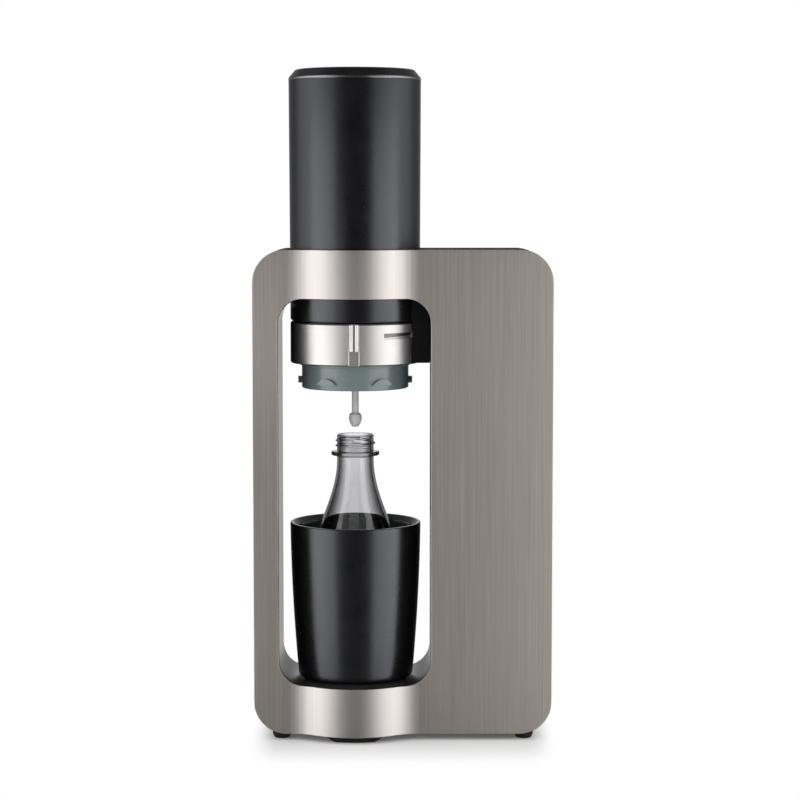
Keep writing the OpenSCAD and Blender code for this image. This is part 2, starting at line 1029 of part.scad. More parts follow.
module carriage() {
    duct_z = tongue_z1 - 5;
    color(black)
        difference() {
            union() {
                block(car_x0, car_x1, -car_y, car_y, car_z0, car_z1);
                block(car_x1 - 1, hose_x + 3.5, hose_y - 4, hose_y + 4,
                    car_z0 + carriage_h / 6, car_z0 + carriage_h / 2);
                translate([hose_x, hose_y, hose_end_z])
                    cylinder(h = car_z0 + 6 - hose_end_z, r = hose_r);
            }
            for (y = [-rod_y, rod_y])
                translate([rail_x, y, car_z0 - 1])
                    cylinder(h = carriage_h + 2, r = bush_r + 0.02);
            rod_along_x(car_x0 - 1, car_x1 - 4, 0, duct_z, gas_duct_r);
            for (y = [-8, 8])
                rod_along_x(car_x0 - 1, car_x1 + 1, y, tongue_z0 + 10, screw_r + 0.6);
        }
}

module rod_bushes() {
    color(brass)
        for (y = [-rod_y, rod_y])
            for (z = [car_z0, car_z1 - bush_h])
                translate([rail_x, y, z])
                    difference() {
                        cylinder(h = bush_h, r = bush_r);
                        translate([0, 0, -1])
                            cylinder(h = bush_h + 2, r = rod_r + run_gap);
                    }
}

module carriage_screws() {
    color(steel)
        for (y = [-8, 8]) {
            rod_along_x(car_x1, car_x1 + 1.6, y, tongue_z0 + 10, 3.4);
            rod_along_x(arm_x1 - 2.5, car_x1 + 0.8, y, tongue_z0 + 10, screw_r + 0.4 - run_gap);
        }
}

module guide_pin() {
    color(steel)
        translate([axis_x, 0, 0])
            rotate([0, 0, pin_angle - 90])
                rod_along_x(core_r - 3.9, ring_r - ring_wall + stop_depth - slip_gap, 0, pin_z, pin_r);
}

module retaining_ring() {
    color(steel)
        turned()
            translate([sleeve_r - 1.4, clip_z0])
                square([3, clip_t]);
}

module button_spring() {
    color(steel)
        translate([axis_x, 0, 0])
            coil(button_coil_r, button_wire_r, button_turns, valve_z1, button_boss_z);
}

// Lock ring

module lock_ring() {
    in_r = ring_r - ring_wall;
    stop_a0 = pin_angle - lock_turn - stop_margin;
    stop_a1 = pin_angle + stop_margin;
    stop_z0 = pin_z - pin_r - slip_gap;
    color(steel)
        difference() {
            turned()
                polygon([
                    [in_r, ring_z0],
                    [ring_r - 0.8, ring_z0],
                    [ring_r, ring_z0 + 0.8],
                    [ring_r, ring_z1 - 1.2],
                    [ring_r - 1.2, ring_z1],
                    [in_r, ring_z1],
                    [in_r, web_z1],
                    [sleeve_r + run_gap, web_z1],
                    [sleeve_r + run_gap, web_z0],
                    [in_r, web_z0]
                ]);
            rotate_about_axis(stop_a0 - 90)
                rotate_extrude(angle = stop_a1 - stop_a0)
                    translate([in_r - 1, stop_z0])
                        square([stop_depth + 1, ring_z1 - stop_z0 + 1]);
            rotate_about_axis(grip_a0 - 90)
                rotate_extrude(angle = grip_a1 - grip_a0)
                    translate([ring_r - grip_depth, grip_z - grip_half])
                        square([grip_depth + 1, 2 * grip_half]);
            translate([axis_x, -ring_r + index_depth, 0])
                upright(ring_z0 - 1, ring_z1 + 1)
                    polygon([
                        [-index_w / 2, 0],
                        [index_w / 2, 0],
                        [index_w / 2 + 5, -5],
                        [-index_w / 2 - 5, -5]
                    ]);
            for (a = [30, 150, 270])
                rotate_about_axis(a)
                    translate([(bay_r + in_r) / 2, 0, web_z0 - 1])
                        cylinder(h = 7, r = screw_r + 0.3);
        }
}

module rotate_about_axis(a) {
    translate([axis_x, 0, 0])
        rotate([0, 0, a])
            children();
}

module bayonet_ring() {
    color(grey_green)
        difference() {
            union() {
                turned()
                    polygon([
                        [bay_in_r, bay_z0 + 0.6],
                        [bay_in_r + 0.6, bay_z0],
                        [bay_r - 0.8, bay_z0],
                        [bay_r, bay_z0 + 0.8],
                        [bay_r, ring_z0 - 2.4],
                        [bay_r + 1.2, ring_z0 - 1.8],
                        [bay_r + 1.2, ring_z0 + 0.5],
                        [ring_r - ring_wall - 0.2, ring_z0 + 0.5],
                        [ring_r - ring_wall - 0.2, web_z0],
                        [sleeve_r + 2.6, web_z0],
                        [sleeve_r + 2.6, clip_z0 - 4],
                        [bay_in_r, clip_z0 - 4]
                    ]);
                for (k = [0 : lug_count - 1])
                    rotate_about_axis(k * 360 / lug_count)
                        lug();
            }
            for (a = [30, 150, 270])
                rotate_about_axis(a)
                    translate([(bay_r + ring_r - ring_wall) / 2, 0, web_z0 - 8])
                        cylinder(h = 9, r = screw_r);
        }
}

// arched lug on a flat foot, standing out along +X
module lug() {
    intersection() {
        translate([0, 0, lug_z0])
            cylinder(h = lug_h, r = bay_r + lug_out);
        rod_along_x(bay_r - 2, bay_r + 10, 0, lug_z1 - lug_arch_r, lug_arch_r);
    }
}

module index_ribs() {
    w = 0.38 * index_w;
    y1 = -ring_r + index_depth;
    color(steel)
        for (s = [-1, 1])
            intersection() {
                translate([axis_x + s * 0.31 * index_w, y1, ring_z1 - 1 - rib_h])
                    cylinder(h = rib_h, r = w / 2);
                block(axis_x - index_w, axis_x + index_w, y1 - w, y1, ring_z0, ring_z1);
            }
}

module ring_screws() {
    r = (bay_r + ring_r - ring_wall) / 2;
    color(steel)
        for (a = [30, 150, 270])
            rotate_about_axis(a) {
                translate([r, 0, web_z1])
                    cylinder(h = 1.5, r = 2.4);
                translate([r, 0, web_z0 - 6])
                    cylinder(h = 12, r = screw_r - run_gap);
            }
}

// Button

module button_cap() {
    color(black)
        turned() {
            polygon([
                [0, button_z1 - button_t],
                [button_r - 2.6, button_z1 - button_t],
                [button_r - 2.6, button_skirt_z],
                [button_r + 2, button_skirt_z],
                [button_r + 2, button_skirt_z + 3.5],
                [button_r, button_skirt_z + 3.5],
                [button_r, button_z1 - 0.6],
                [button_r - 0.6, button_z1],
                [0, button_z1]
            ]);
            translate([plunger_r + run_gap, button_boss_z])
                square([button_boss_r - plunger_r - run_gap, button_z1 - button_t - button_boss_z + 0.5]);
        }
}

module plunger() {
    color(steel)
        translate([axis_x, 0, plunger_z0])
            cylinder(h = button_z1 - button_t - plunger_z0, r = plunger_r);
}

// Holder and bottle

// outer radius of the holder at a height over its foot
function cup_out(h) = cup_r - (cup_r - cup_base_r) * (1 - h / cup_apex) * (1 - h / cup_apex);

module cup() {
    z0 = cup_z0 + pad_out;
    steps = 12;
    foot = 1.5;
    top = cup_h - 1;
    wall_pts = [
        for (i = [0 : steps])
            let (h = foot + (top - foot) * i / steps)
                [cup_out(h), cup_z0 + h]
    ];
    color(satin_black) {
        difference() {
            turned()
                polygon(concat(
                    [[0, z0], [cup_out(0) - 1, z0]],
                    wall_pts,
                    [
                        [cup_out(cup_h) - 0.8, cup_rim_z],
                        [cup_out(cup_h) - rim_flat, cup_rim_z],
                        [cup_in_r1, lead_z],
                        [cup_in_r1, lip_z0 - 12],
                        [cup_in_r0 + 1.4, z0 + cup_floor + 30],
                        [cup_in_r0, z0 + cup_floor],
                        [0, z0 + cup_floor]
                    ]
                ));
            turned()
                translate([pad_r0, cup_z0])
                    square([pad_r1 - pad_r0, pad_t]);
        }
        for (k = [0 : lug_count - 1])
            rotate_about_axis(k * 360 / lug_count + notch_half)
                rotate_extrude(angle = 360 / lug_count - 2 * notch_half)
                    polygon([
                        [lip_r, lip_z0],
                        [cup_in_r1 + 1, lip_z0],
                        [cup_in_r1 + 1, lead_z - 0.6],
                        [lip_r + 0.6, lead_z - 0.6],
                        [lip_r, lead_z - 1.2]
                    ]);
    }
}

module cup_pad() {
    color(rubber)
        turned()
            translate([pad_r0, cup_z0])
                square([pad_r1 - pad_r0, pad_t]);
}

// radius of the glass at a height over the bottle's foot, up to the neck
function shoulder(h) =
    let (t = min(1, max(0, (h - shoulder_z0) / (shoulder_z1 - shoulder_z0))))
        neck_r + (bottle_r - neck_r) * (1 - t * t * (3 - 2 * t));

module bottle() {
    steps = 20;
    ring_h0 = bottle_h - 17;
    th0 = bottle_h - 11;
    th1 = bottle_h - 6.6;
    out_pts = [
        for (i = [0 : steps])
            let (h = shoulder_z0 + (shoulder_z1 - shoulder_z0) * i / steps)
                [shoulder(h), bottle_z0 + h]
    ];
    in_pts = [
        for (i = [steps : -1 : 0])
            let (h = shoulder_z0 + (shoulder_z1 - shoulder_z0) * i / steps)
                [shoulder(h) - glass_t, bottle_z0 + h - 1]
    ];
    color([0.8, 0.85, 0.85, 0.4])
        turned()
            polygon(concat(
                [
                    [0, bottle_z0],
                    [bottle_r - 5, bottle_z0],
                    [bottle_r - 1.5, bottle_z0 + 1.5],
                    [bottle_r, bottle_z0 + 5]
                ],
                out_pts,
                [
                    [neck_r, bottle_z0 + ring_h0 - 1],
                    [neck_r + neck_ring_out, bottle_z0 + ring_h0],
                    [neck_r + neck_ring_out, bottle_z0 + ring_h0 + neck_ring_h],
                    [neck_r, bottle_z0 + ring_h0 + neck_ring_h + 0.6],
                    [neck_r, bottle_z0 + th0 - 1],
                    [neck_r + thread_out, bottle_z0 + th0],
                    [neck_r + thread_out, bottle_z0 + th0 + 1],
                    [neck_r, bottle_z0 + th0 + 2],
                    [neck_r, bottle_z0 + th1 - 1],
                    [neck_r + thread_out, bottle_z0 + th1],
                    [neck_r + thread_out, bottle_z0 + th1 + 1],
                    [neck_r, bottle_z0 + th1 + 2],
                    [neck_r, mouth_z - 0.8],
                    [neck_r - 0.8, mouth_z],
                    [neck_r - glass_t + 0.6, mouth_z],
                    [neck_r - glass_t, mouth_z - 0.6]
                ],
                in_pts,
                [
                    [bottle_r - glass_t, bottle_z0 + 12],
                    [bottle_r - glass_t - 5, bottle_z0 + 6],
                    [0, bottle_z0 + 6]
                ]
            ));
}

// Rear door

module gas_door() {
    color(metal)
        difference() {
            through(in_y, half_d)
                round_rect(door_x0 + slip_gap, door_z0 + slip_gap, door_x1 - slip_gap, door_z1 - slip_gap,
                    door_r - slip_gap);
            rod_along_y((door_x0 + door_x1) / 2, in_y - 1, half_d + 1, door_z1 - slip_gap, 8);
        }
}

module door_pegs() {
    color(black)
        for (x = [peg_x0, peg_x1])
            for (z = [peg_z0, peg_z1])
                rod_along_y(x, in_y - peg_in, in_y, z, peg_r);
}

front_panel();
rear_panel();
column_shell();
post();
bridge();
base_housing();
base_cover();
window_liner();
tray();
corner_feet();
bulge_feet();
base_screws();
guide_rods();
rod_blocks();
lift_springs();
gas_cylinder();
cylinder_valve();
cylinder_cradle();
cylinder_clip();
regulator();
regulator_bracket();
gas_hose();
door_sockets();
tower_shell();
trim_ring();
cap_ring();
head_core();
bottle_seal();
lance();
lance_nut();
dosing_valve();
relief_valve();
gas_tube();
arm();
carriage();
rod_bushes();
carriage_screws();
guide_pin();
retaining_ring();
button_spring();
lock_ring();
bayonet_ring();
index_ribs();
ring_screws();
button_cap();
plunger();
cup();
cup_pad();
bottle();
gas_door();
door_pegs();
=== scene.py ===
# %% [markdown]
# # A sparkling water maker, dressed for its portrait
# The machine is a flat frame of brushed metal with a tall window. A black tower slides in the top of the
# frame, a steel ring on its lower end locks onto the bottle's holder, and the bottle stands in the window.
# The engineering solids come in as a fixed frame. Everything below adds the looks and never moves them.

# %% Load the frame
import json
import math
from collections import namedtuple

import bmesh
import bpy
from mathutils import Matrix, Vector


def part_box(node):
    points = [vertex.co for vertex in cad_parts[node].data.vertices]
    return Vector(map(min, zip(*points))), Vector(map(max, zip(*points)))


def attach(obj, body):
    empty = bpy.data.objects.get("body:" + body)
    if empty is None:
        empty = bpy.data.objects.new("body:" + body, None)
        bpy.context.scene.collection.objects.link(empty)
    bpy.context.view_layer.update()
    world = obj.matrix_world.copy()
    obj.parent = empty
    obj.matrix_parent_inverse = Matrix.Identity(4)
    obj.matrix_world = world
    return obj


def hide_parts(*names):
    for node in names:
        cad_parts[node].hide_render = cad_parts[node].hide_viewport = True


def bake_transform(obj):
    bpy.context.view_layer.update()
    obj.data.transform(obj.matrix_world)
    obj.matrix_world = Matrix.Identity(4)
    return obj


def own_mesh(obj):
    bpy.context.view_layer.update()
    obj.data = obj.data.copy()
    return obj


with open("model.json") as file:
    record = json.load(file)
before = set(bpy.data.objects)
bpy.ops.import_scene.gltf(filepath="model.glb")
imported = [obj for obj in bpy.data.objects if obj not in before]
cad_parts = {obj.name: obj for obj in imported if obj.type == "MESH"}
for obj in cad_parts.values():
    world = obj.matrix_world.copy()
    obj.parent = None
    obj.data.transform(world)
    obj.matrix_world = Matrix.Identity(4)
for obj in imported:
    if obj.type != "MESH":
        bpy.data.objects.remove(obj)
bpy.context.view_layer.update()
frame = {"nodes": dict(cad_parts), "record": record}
NODES = frame["nodes"]
MM = 0.001

# %% [markdown]
# ## Camera
# The picture was taken from the front, a little above the middle, with a long lens. The pitch follows from
# how much of the window's floor shows, and the lens from how fast the sides close in.
# A long lens far away keeps the verticals nearly parallel, so no shift is needed.

# %% Camera
LENS_MM, SENSOR_MM = 103.5, 36
PITCH_DOWN = 4.96
CAMERA_AT = (-0.0023, -1.868, 0.434)
camera_data = bpy.data.cameras.new("portrait_lens")
camera_data.lens = LENS_MM
camera_data.sensor_width = SENSOR_MM
camera = bpy.data.objects.new("portrait_camera", camera_data)
camera.location = CAMERA_AT
camera.rotation_euler = (math.radians(90 - PITCH_DOWN), 0, 0)
bpy.context.scene.collection.objects.link(camera)
bpy.context.scene.camera = camera
bpy.context.scene.view_settings.view_transform = "Standard"
print("camera", CAMERA_AT, "pitch", PITCH_DOWN)

# %% [markdown]
# ## Node trees
# The world and every finish are trees of nodes. Written out link by link they hide what they do, so one
# helper adds a node and feeds its sockets: a number or colour is set on the socket itself, and the output of
# another node is linked to it. The other helpers are single steps that come up again and again.

# %% Nodes and their sockets
def feed(tree, node, inputs):
    """Each socket gets a value, or a link where another node's output is given."""
    for socket, value in inputs.items():
        if isinstance(value, bpy.types.NodeSocket):
            tree.links.new(value, node.inputs[socket])
        else:
            node.inputs[socket].default_value = value


def add_node(tree, kind, inputs=None, **settings):
    node = tree.nodes.new(kind)
    for name, value in settings.items():
        setattr(node, name, value)
    feed(tree, node, inputs or {})
    return node


print("nodes can be added and fed")

# %% Single steps in a node tree
def maths(tree, operation, first, second=None):
    inputs = {0: first} if second is None else {0: first, 1: second}
    return add_node(tree, "ShaderNodeMath", inputs, operation=operation).outputs[0]


def ease(tree, value, start, end):
    """0 before start, 1 after end and a smooth step between."""
    inputs = {"Value": value, "From Min": start, "From Max": end}
    return add_node(tree, "ShaderNodeMapRange", inputs, interpolation_type="SMOOTHSTEP").outputs["Result"]


def mix_colour(tree, factor, first, second):
    inputs = {"Factor": factor, "A": first, "B": second}
    return add_node(tree, "ShaderNodeMix", inputs, data_type="RGBA").outputs["Result"]


def fill_ramp(ramp, stops):
    """Puts stops (place from 0 to 1, colour) on a ramp, which starts with two of its own."""
    elements = ramp.color_ramp.elements
    for index, (place, colour) in enumerate(stops):
        stop = elements[index] if index < 2 else elements.new(place)
        stop.position = place
        stop.color = colour


def grey(level):
    return level, level, level, 1


print("a middle grey is", grey(0.5))

# %% [markdown]
# ## Surroundings
# Metal and satin black show their surroundings more than their own colour. The tower carries two soft grey
# bands with a dark line between, so there was a broad light left and right of the camera and a dark gap
# at the camera itself. Area lamps could do it, but such wide soft walls are easier as the world's own
# colour: a ramp round the compass, darker overhead and below. The background is plain white. Camera rays
# and rays through glass see it all round, and mirrored rays see it only straight behind the machine.

# %% World, walls round the compass
WALL_STOPS = [
    # compass degrees from the camera, positive to the right; brightness
    (-180, 0.50), (-162, 0.34), (-146, 0.14), (-124, 0.18), (-106, 0.80), (-84, 1.15), (-62, 0.95),
    (-46, 0.50), (-30, 0.15), (-15, 0.03), (0, 0.02), (13, 0.02), (28, 0.08), (44, 0.28),
    (62, 0.70), (84, 1.10), (106, 0.80), (124, 0.20), (146, 0.14), (162, 0.34), (180, 0.50),
]
WALL_GAIN = 2.0
world = bpy.data.worlds.new("studio")
bpy.context.scene.world = world
world.use_nodes = True
air = world.node_tree
air.nodes.clear()
direction = add_node(air, "ShaderNodeTexCoord")
split = add_node(air, "ShaderNodeSeparateXYZ", {0: direction.outputs["Generated"]})
compass = maths(air, "ARCTAN2", split.outputs["X"], maths(air, "MULTIPLY", split.outputs["Y"], -1))
turn = add_node(air, "ShaderNodeMapRange", {"Value": compass, "From Min": -math.pi, "From Max": math.pi})
walls = add_node(air, "ShaderNodeValToRGB", {"Fac": turn.outputs["Result"]})
fill_ramp(walls, [((degrees + 180) / 360, grey(level / WALL_GAIN)) for degrees, level in WALL_STOPS])
print("wall stops", len(walls.color_ramp.elements))

# %% World, ground, ceiling and background
GROUND, GROUND_FROM, GROUND_TO = 0.12, -0.20, -0.46
CEILING, CEILING_FROM, CEILING_TO = 0.07, 0.62, 0.92
BEHIND_FROM, BEHIND_TO = math.radians(168), math.radians(177)
lower = ease(air, split.outputs["Z"], GROUND_FROM, GROUND_TO)
higher = ease(air, split.outputs["Z"], CEILING_FROM, CEILING_TO)
room = mix_colour(air, lower, walls.outputs["Color"], grey(GROUND / WALL_GAIN))
room = mix_colour(air, higher, room, grey(CEILING / WALL_GAIN))
studio = add_node(air, "ShaderNodeBackground", {"Color": room, "Strength": WALL_GAIN})
background = add_node(air, "ShaderNodeBackground", {"Color": grey(1)})
rays = add_node(air, "ShaderNodeLightPath")
behind = ease(air, maths(air, "ABSOLUTE", compass), BEHIND_FROM, BEHIND_TO)
white_for = maths(air, "MULTIPLY", rays.outputs["Is Glossy Ray"], behind)
white_for = maths(air, "MAXIMUM", white_for, rays.outputs["Is Transmission Ray"])
white_for = maths(air, "MAXIMUM", white_for, rays.outputs["Is Camera Ray"])
swap = add_node(
    air, "ShaderNodeMixShader", {"Fac": white_for, 1: studio.outputs[0], 2: background.outputs[0]})
add_node(air, "ShaderNodeOutputWorld", {"Surface": swap.outputs[0]})
print("world nodes", len(air.nodes))

# %% [markdown]
# ## Floor and lamps
# The machine stands on white paper with a faint soft shadow round its feet. Near the machine the paper is a
# diffuse sheet with a faint glow of its own, painted light that lifts the shadow under the machine, and it
# fades into the white of the background further out, which hides the horizon.
# Mirrored rays pass through it, so the metal sees the studio and not the sheet. It casts no shadow itself,
# because the tall boxes at the sides reach below it. A broad lamp overhead and one in front give plain light
# and the soft shadow. Mirrors show only the two tall boxes and a small card on the left: they stand near, so
# the panel's tone changes across its width.

# %% Floor
FLOOR_HALF = 6.0
floor_mesh = bpy.data.meshes.new("paper_floor")
floor_corners = [(-FLOOR_HALF, -FLOOR_HALF), (FLOOR_HALF, -FLOOR_HALF), (FLOOR_HALF, FLOOR_HALF),
                 (-FLOOR_HALF, FLOOR_HALF)]
floor_mesh.from_pydata([(x, y, 0) for x, y in floor_corners], [], [(0, 1, 2, 3)])
floor = bpy.data.objects.new("paper_floor", floor_mesh)
floor.visible_glossy = False
floor.visible_shadow = False
bpy.context.scene.collection.objects.link(floor)
print("floor", FLOOR_HALF * 2, "m wide")

# %% A new finish
FINISH = {}


def new_finish(name):
    mat = bpy.data.materials.new(name)
    mat.use_nodes = True
    FINISH[name] = mat
    return mat.node_tree, mat.node_tree.nodes["Principled BSDF"]


print("finishes so far", len(FINISH))

# %% Paper
PAPER = {
    "Base Color": grey(0.93), "Roughness": 0.9, "Specular IOR Level": 0.1,
    # the emission here is painted light: a faint glow that lifts the shadow under the machine
    "Emission Color": grey(1), "Emission Strength": 0.08,
}
SHADE_BOX = (0.098, 0.045, 0.0)
SHADE_SQUEEZE = (3.4, 1, 1)
FADE_TO = 0.09


def paper():
    """Diffuse with a faint painted glow round the machine's own box, white further out."""
    tree, sheet = new_finish("paper")
    feed(tree, sheet, PAPER)
    glow = add_node(tree, "ShaderNodeEmission")
    step = add_node(tree, "ShaderNodeTexCoord").outputs["Object"]
    for operation, amount in (
            ("ABSOLUTE", None), ("SUBTRACT", SHADE_BOX), ("MAXIMUM", (0, 0, 0)), ("MULTIPLY", SHADE_SQUEEZE)):
        inputs = {0: step} if amount is None else {0: step, 1: amount}
        step = add_node(tree, "ShaderNodeVectorMath", inputs, operation=operation).outputs[0]
    away = add_node(tree, "ShaderNodeVectorMath", {0: step}, operation="LENGTH").outputs["Value"]
    fade = ease(tree, away, 0.0, FADE_TO)
    merge = add_node(tree, "ShaderNodeMixShader", {"Fac": fade, 1: sheet.outputs[0], 2: glow.outputs[0]})
    feed(tree, tree.nodes["Material Output"], {"Surface": merge.outputs[0]})


paper()
floor_mesh.materials.append(FINISH["paper"])
print("paper fades over", FADE_TO, "m")

# %% Lamps
LAMPS = [
    # name; place; aimed at; width and height; watts; whether mirrors show it
    ("overhead_box", (-0.10, 0.10, 1.90), (0, 0, 0), (1.5, 1.2), 11.0, False),
    ("front_fill", (-0.20, -1.60, 1.20), (0, 0, 0.2), (1.2, 0.9), 4.5, False),
    ("right_wall", (0.42, -0.32, 0.165), (0, 0, 0.165), (0.50, 0.69), 1.41, True),
    ("left_wall", (-0.53, -0.34, 0.165), (-0.05, 0, 0.165), (0.50, 0.69), 1.27, True),
    ("left_card", (-0.293, -0.594, 0.315), (-0.039, -0.05, 0.345), (0.16, 0.15), 0.050, True),
]
for name, place, target, size, watts, mirrored in LAMPS:
    data = bpy.data.lights.new(name, "AREA")
    data.shape = "RECTANGLE"
    data.size, data.size_y = size
    data.energy = watts
    lamp = bpy.data.objects.new(name, data)
    lamp.location = place
    lamp.rotation_euler = (Vector(target) - Vector(place)).to_track_quat("-Z", "Y").to_euler()
    lamp.visible_glossy = mirrored
    lamp.visible_camera = False
    bpy.context.scene.collection.objects.link(lamp)
print("lamps", len(LAMPS))

# %% [markdown]
# ## Finishes
# Each finish is a small tree of nodes. All of them read object coordinates: the solids sit at the origin
# with their place in their vertices, so one metre of texture is one metre of object and the grain keeps its
# size from piece to piece. A few helpers are enough: noise with its own scale along each axis, for grain and
# brush lines, and maps of that noise onto a range, onto two colours or onto a bump.

# %% Helpers for finishes
NOISE_LOW, NOISE_HIGH = 0.3, 0.7


def grain(tree, scale, detail=3.0):
    coord = add_node(tree, "ShaderNodeTexCoord")
    stretch = add_node(tree, "ShaderNodeMapping", {"Vector": coord.outputs["Object"], "Scale": scale})
    inputs = {"Vector": stretch.outputs["Vector"], "Scale": 1.0, "Detail": detail}
    return add_node(tree, "ShaderNodeTexNoise", inputs).outputs["Fac"]


def between(tree, source, low, high):
    inputs = {"Value": source, "From Min": NOISE_LOW, "From Max": NOISE_HIGH, "To Min": low, "To Max": high}
    return add_node(tree, "ShaderNodeMapRange", inputs).outputs["Result"]


def tint(tree, source, dark, light):
    ramp = add_node(tree, "ShaderNodeValToRGB", {"Fac": source})
    fill_ramp(ramp, [(NOISE_LOW, (*dark, 1)), (NOISE_HIGH, (*light, 1))])
    return ramp.outputs["Color"]


def relief(tree, source, strength, depth):
    inputs = {"Height": source, "Strength": strength, "Distance": depth}
    return add_node(tree, "ShaderNodeBump", inputs).outputs["Normal"]


print("finish helpers ready")

# %% [markdown]
# ## Brushed metal
# The panels are sheet metal brushed straight up and down, with a warm taupe cast. Brushing leaves fine
# grooves, which smear reflections sideways. That needs anisotropy with its tangent lying level, plus streaks
# that are long in Z and thin across. The tangent node's radial mode about Z lies level everywhere on an
# upright sheet, so no UV map is needed. On the swell round the tower the streaks are faint and the colour
# cooler, which a mask by the distance from the tower's axis brings in. The cooler colour is painted
# highlight: it gives the bright bands on the swell a whiter tone.

# %% Axis of the tower
Span = namedtuple("Span", "x0 y0 z0 x1 y1 z1")


def span(node):
    """The box of a solid in millimetres, rounded because its corners have single precision."""
    return Span(*(round(v / MM, 4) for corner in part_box(node) for v in corner))


tower = span("tower_shell")
AXIS_X = (tower.x0 + tower.x1) / 2
print("tower's axis at", AXIS_X)

# %% Level smear and the mask of the swell
SWELL_MASK_FROM, SWELL_MASK_TO = 42.0, 58.0


def smear_level(tree, shader, amount):
    """Stretches reflections sideways on upright metal."""
    level = add_node(tree, "ShaderNodeTangent", direction_type="RADIAL", axis="Z")
    feed(tree, shader, {"Anisotropic": amount, "Tangent": level.outputs["Tangent"]})


def flat_share(tree):
    """0 on the swell round the tower's axis, 1 on the flat sheet."""
    coord = add_node(tree, "ShaderNodeTexCoord")
    place = add_node(tree, "ShaderNodeSeparateXYZ", {0: coord.outputs["Object"]})
    away = maths(tree, "ABSOLUTE", maths(tree, "SUBTRACT", place.outputs["X"], AXIS_X * MM))
    return ease(tree, away, SWELL_MASK_FROM * MM, SWELL_MASK_TO * MM)


print("polish fades from", SWELL_MASK_FROM, "to", SWELL_MASK_TO, "mm off the axis")

# %% Brushed metal
# the swell's cooler tint is painted highlight colour, the whiter tone of the bright bands on the swell
SWELL_TINT = ((0.598, 0.561, 0.540), (0.634, 0.595, 0.572))
FLAT_TINT = ((0.612, 0.561, 0.519), (0.750, 0.691, 0.641))


def brushed_metal():
    tree, shader = new_finish("brushed_metal")
    smear_level(tree, shader, 0.70)
    fine = grain(tree, (2900, 2900, 24))
    lines = grain(tree, (860, 860, 16), detail=2.0)
    streaks = grain(tree, (760, 760, 7))
    swell, flat = tint(tree, streaks, *SWELL_TINT), tint(tree, streaks, *FLAT_TINT)
    feed(tree, shader, {
        "Metallic": 1.0,
        "Base Color": mix_colour(tree, flat_share(tree), swell, flat),
        "Roughness": between(tree, lines, 0.352, 0.378),
        "Normal": relief(tree, fine, 0.05, 0.0002),
    })


brushed_metal()
print("brushed metal nodes", len(FINISH["brushed_metal"].node_tree.nodes))

# %% [markdown]
# ## Satin black and moulded black
# The tower and the holder are painted satin black: nearly no colour of their own, a soft mirror on top. A
# clear coat over a black base could do it, but one layer with a strong reflection is simpler and gives the
# same soft bands. A very weak bump stands for orange peel, the waviness of sprayed paint. The housing is
# moulded black plastic with a fine spark-eroded grain, rougher than the paint and with less reflection.

# %% Blacks
def satin_black():
    tree, shader = new_finish("satin_black")
    orange_peel = grain(tree, (420, 420, 420), detail=2.0)
    speckle = grain(tree, (60, 60, 60))
    feed(tree, shader, {
        "Specular IOR Level": 0.96,
        "Specular Tint": (0.90, 0.92, 1.0, 1),
        "Base Color": tint(tree, speckle, (0.0030, 0.0030, 0.0034), (0.0045, 0.0045, 0.0050)),
        "Roughness": between(tree, speckle, 0.26, 0.31),
        "Normal": relief(tree, orange_peel, 0.012, 0.0002),
    })


def black_plastic():
    tree, shader = new_finish("black_plastic")
    spark = grain(tree, (2600, 2600, 2600), detail=2.0)
    feed(tree, shader, {
        "Specular IOR Level": 0.15,
        "Base Color": tint(tree, spark, (0.005, 0.005, 0.0054), (0.009, 0.009, 0.0095)),
        "Roughness": between(tree, spark, 0.66, 0.80),
        "Normal": relief(tree, spark, 0.12, 0.00008),
    })


satin_black()
black_plastic()
print("finishes", len(FINISH))

# %% [markdown]
# ## Bright metals
# The lock ring is turned steel: the tool leaves level lines, so its noise is fine in Z and long around. At a
# slant the tint that the shader gives its reflection is black, painted shade that darkens the ring's edges.
# The index ribs get a paler copy of the steel, painted highlight for the light that their fronts catch. The
# floor of the grip groove gets a dark dull steel, painted shade in the recess. The trim line under the cap
# is a darker metal. Screws, rods and springs are plainer steel. The gas fittings are brass.

# %% Bright metals
TOOL_LINES = (9, 9, 2600)


def turned_metal(name, dark, light, rough, scale=TOOL_LINES, strength=0.06, smear=0.0, slant=1.0):
    tree, shader = new_finish(name)
    if smear:
        smear_level(tree, shader, smear)
    lines = grain(tree, scale)
    cloud = grain(tree, (70, 70, 70), detail=2.0)
    feed(tree, shader, {
        "Metallic": 1.0,
        "Specular Tint": grey(slant),
        "Base Color": tint(tree, cloud, dark, light),
        "Roughness": between(tree, lines, *rough),
        "Normal": relief(tree, lines, strength, 0.0001),
    })


# the black tint at a slant below is painted shade on the lock ring's edges
turned_metal("polished_steel", (0.65, 0.63, 0.62), (0.69, 0.67, 0.66), (0.34, 0.39), smear=0.64, slant=0.0)
turned_metal("trim_metal", (0.40, 0.39, 0.39), (0.45, 0.44, 0.44), (0.22, 0.28), smear=0.3)
# the dark dull steel below is painted shade for the floor of the grip groove
turned_metal("groove_shade_steel", (0.165, 0.160, 0.155), (0.195, 0.190, 0.185), (0.30, 0.36), smear=0.3)
# the pale steel below is painted highlight for the index ribs
turned_metal("rib_highlight_steel", (0.95, 0.930, 0.920), (0.98, 0.965, 0.955), (0.46, 0.52), smear=0.6)
turned_metal("steel", (0.50, 0.50, 0.50), (0.60, 0.60, 0.60), (0.24, 0.36), (300, 300, 300), 0.05)
turned_metal("brass", (0.60, 0.44, 0.19), (0.70, 0.53, 0.25), (0.26, 0.38), (400, 400, 900), 0.06)
turned_metal("valve_alloy", (0.42, 0.43, 0.44), (0.52, 0.53, 0.54), (0.34, 0.46), (700, 700, 700), 0.10)
print("finishes", len(FINISH))
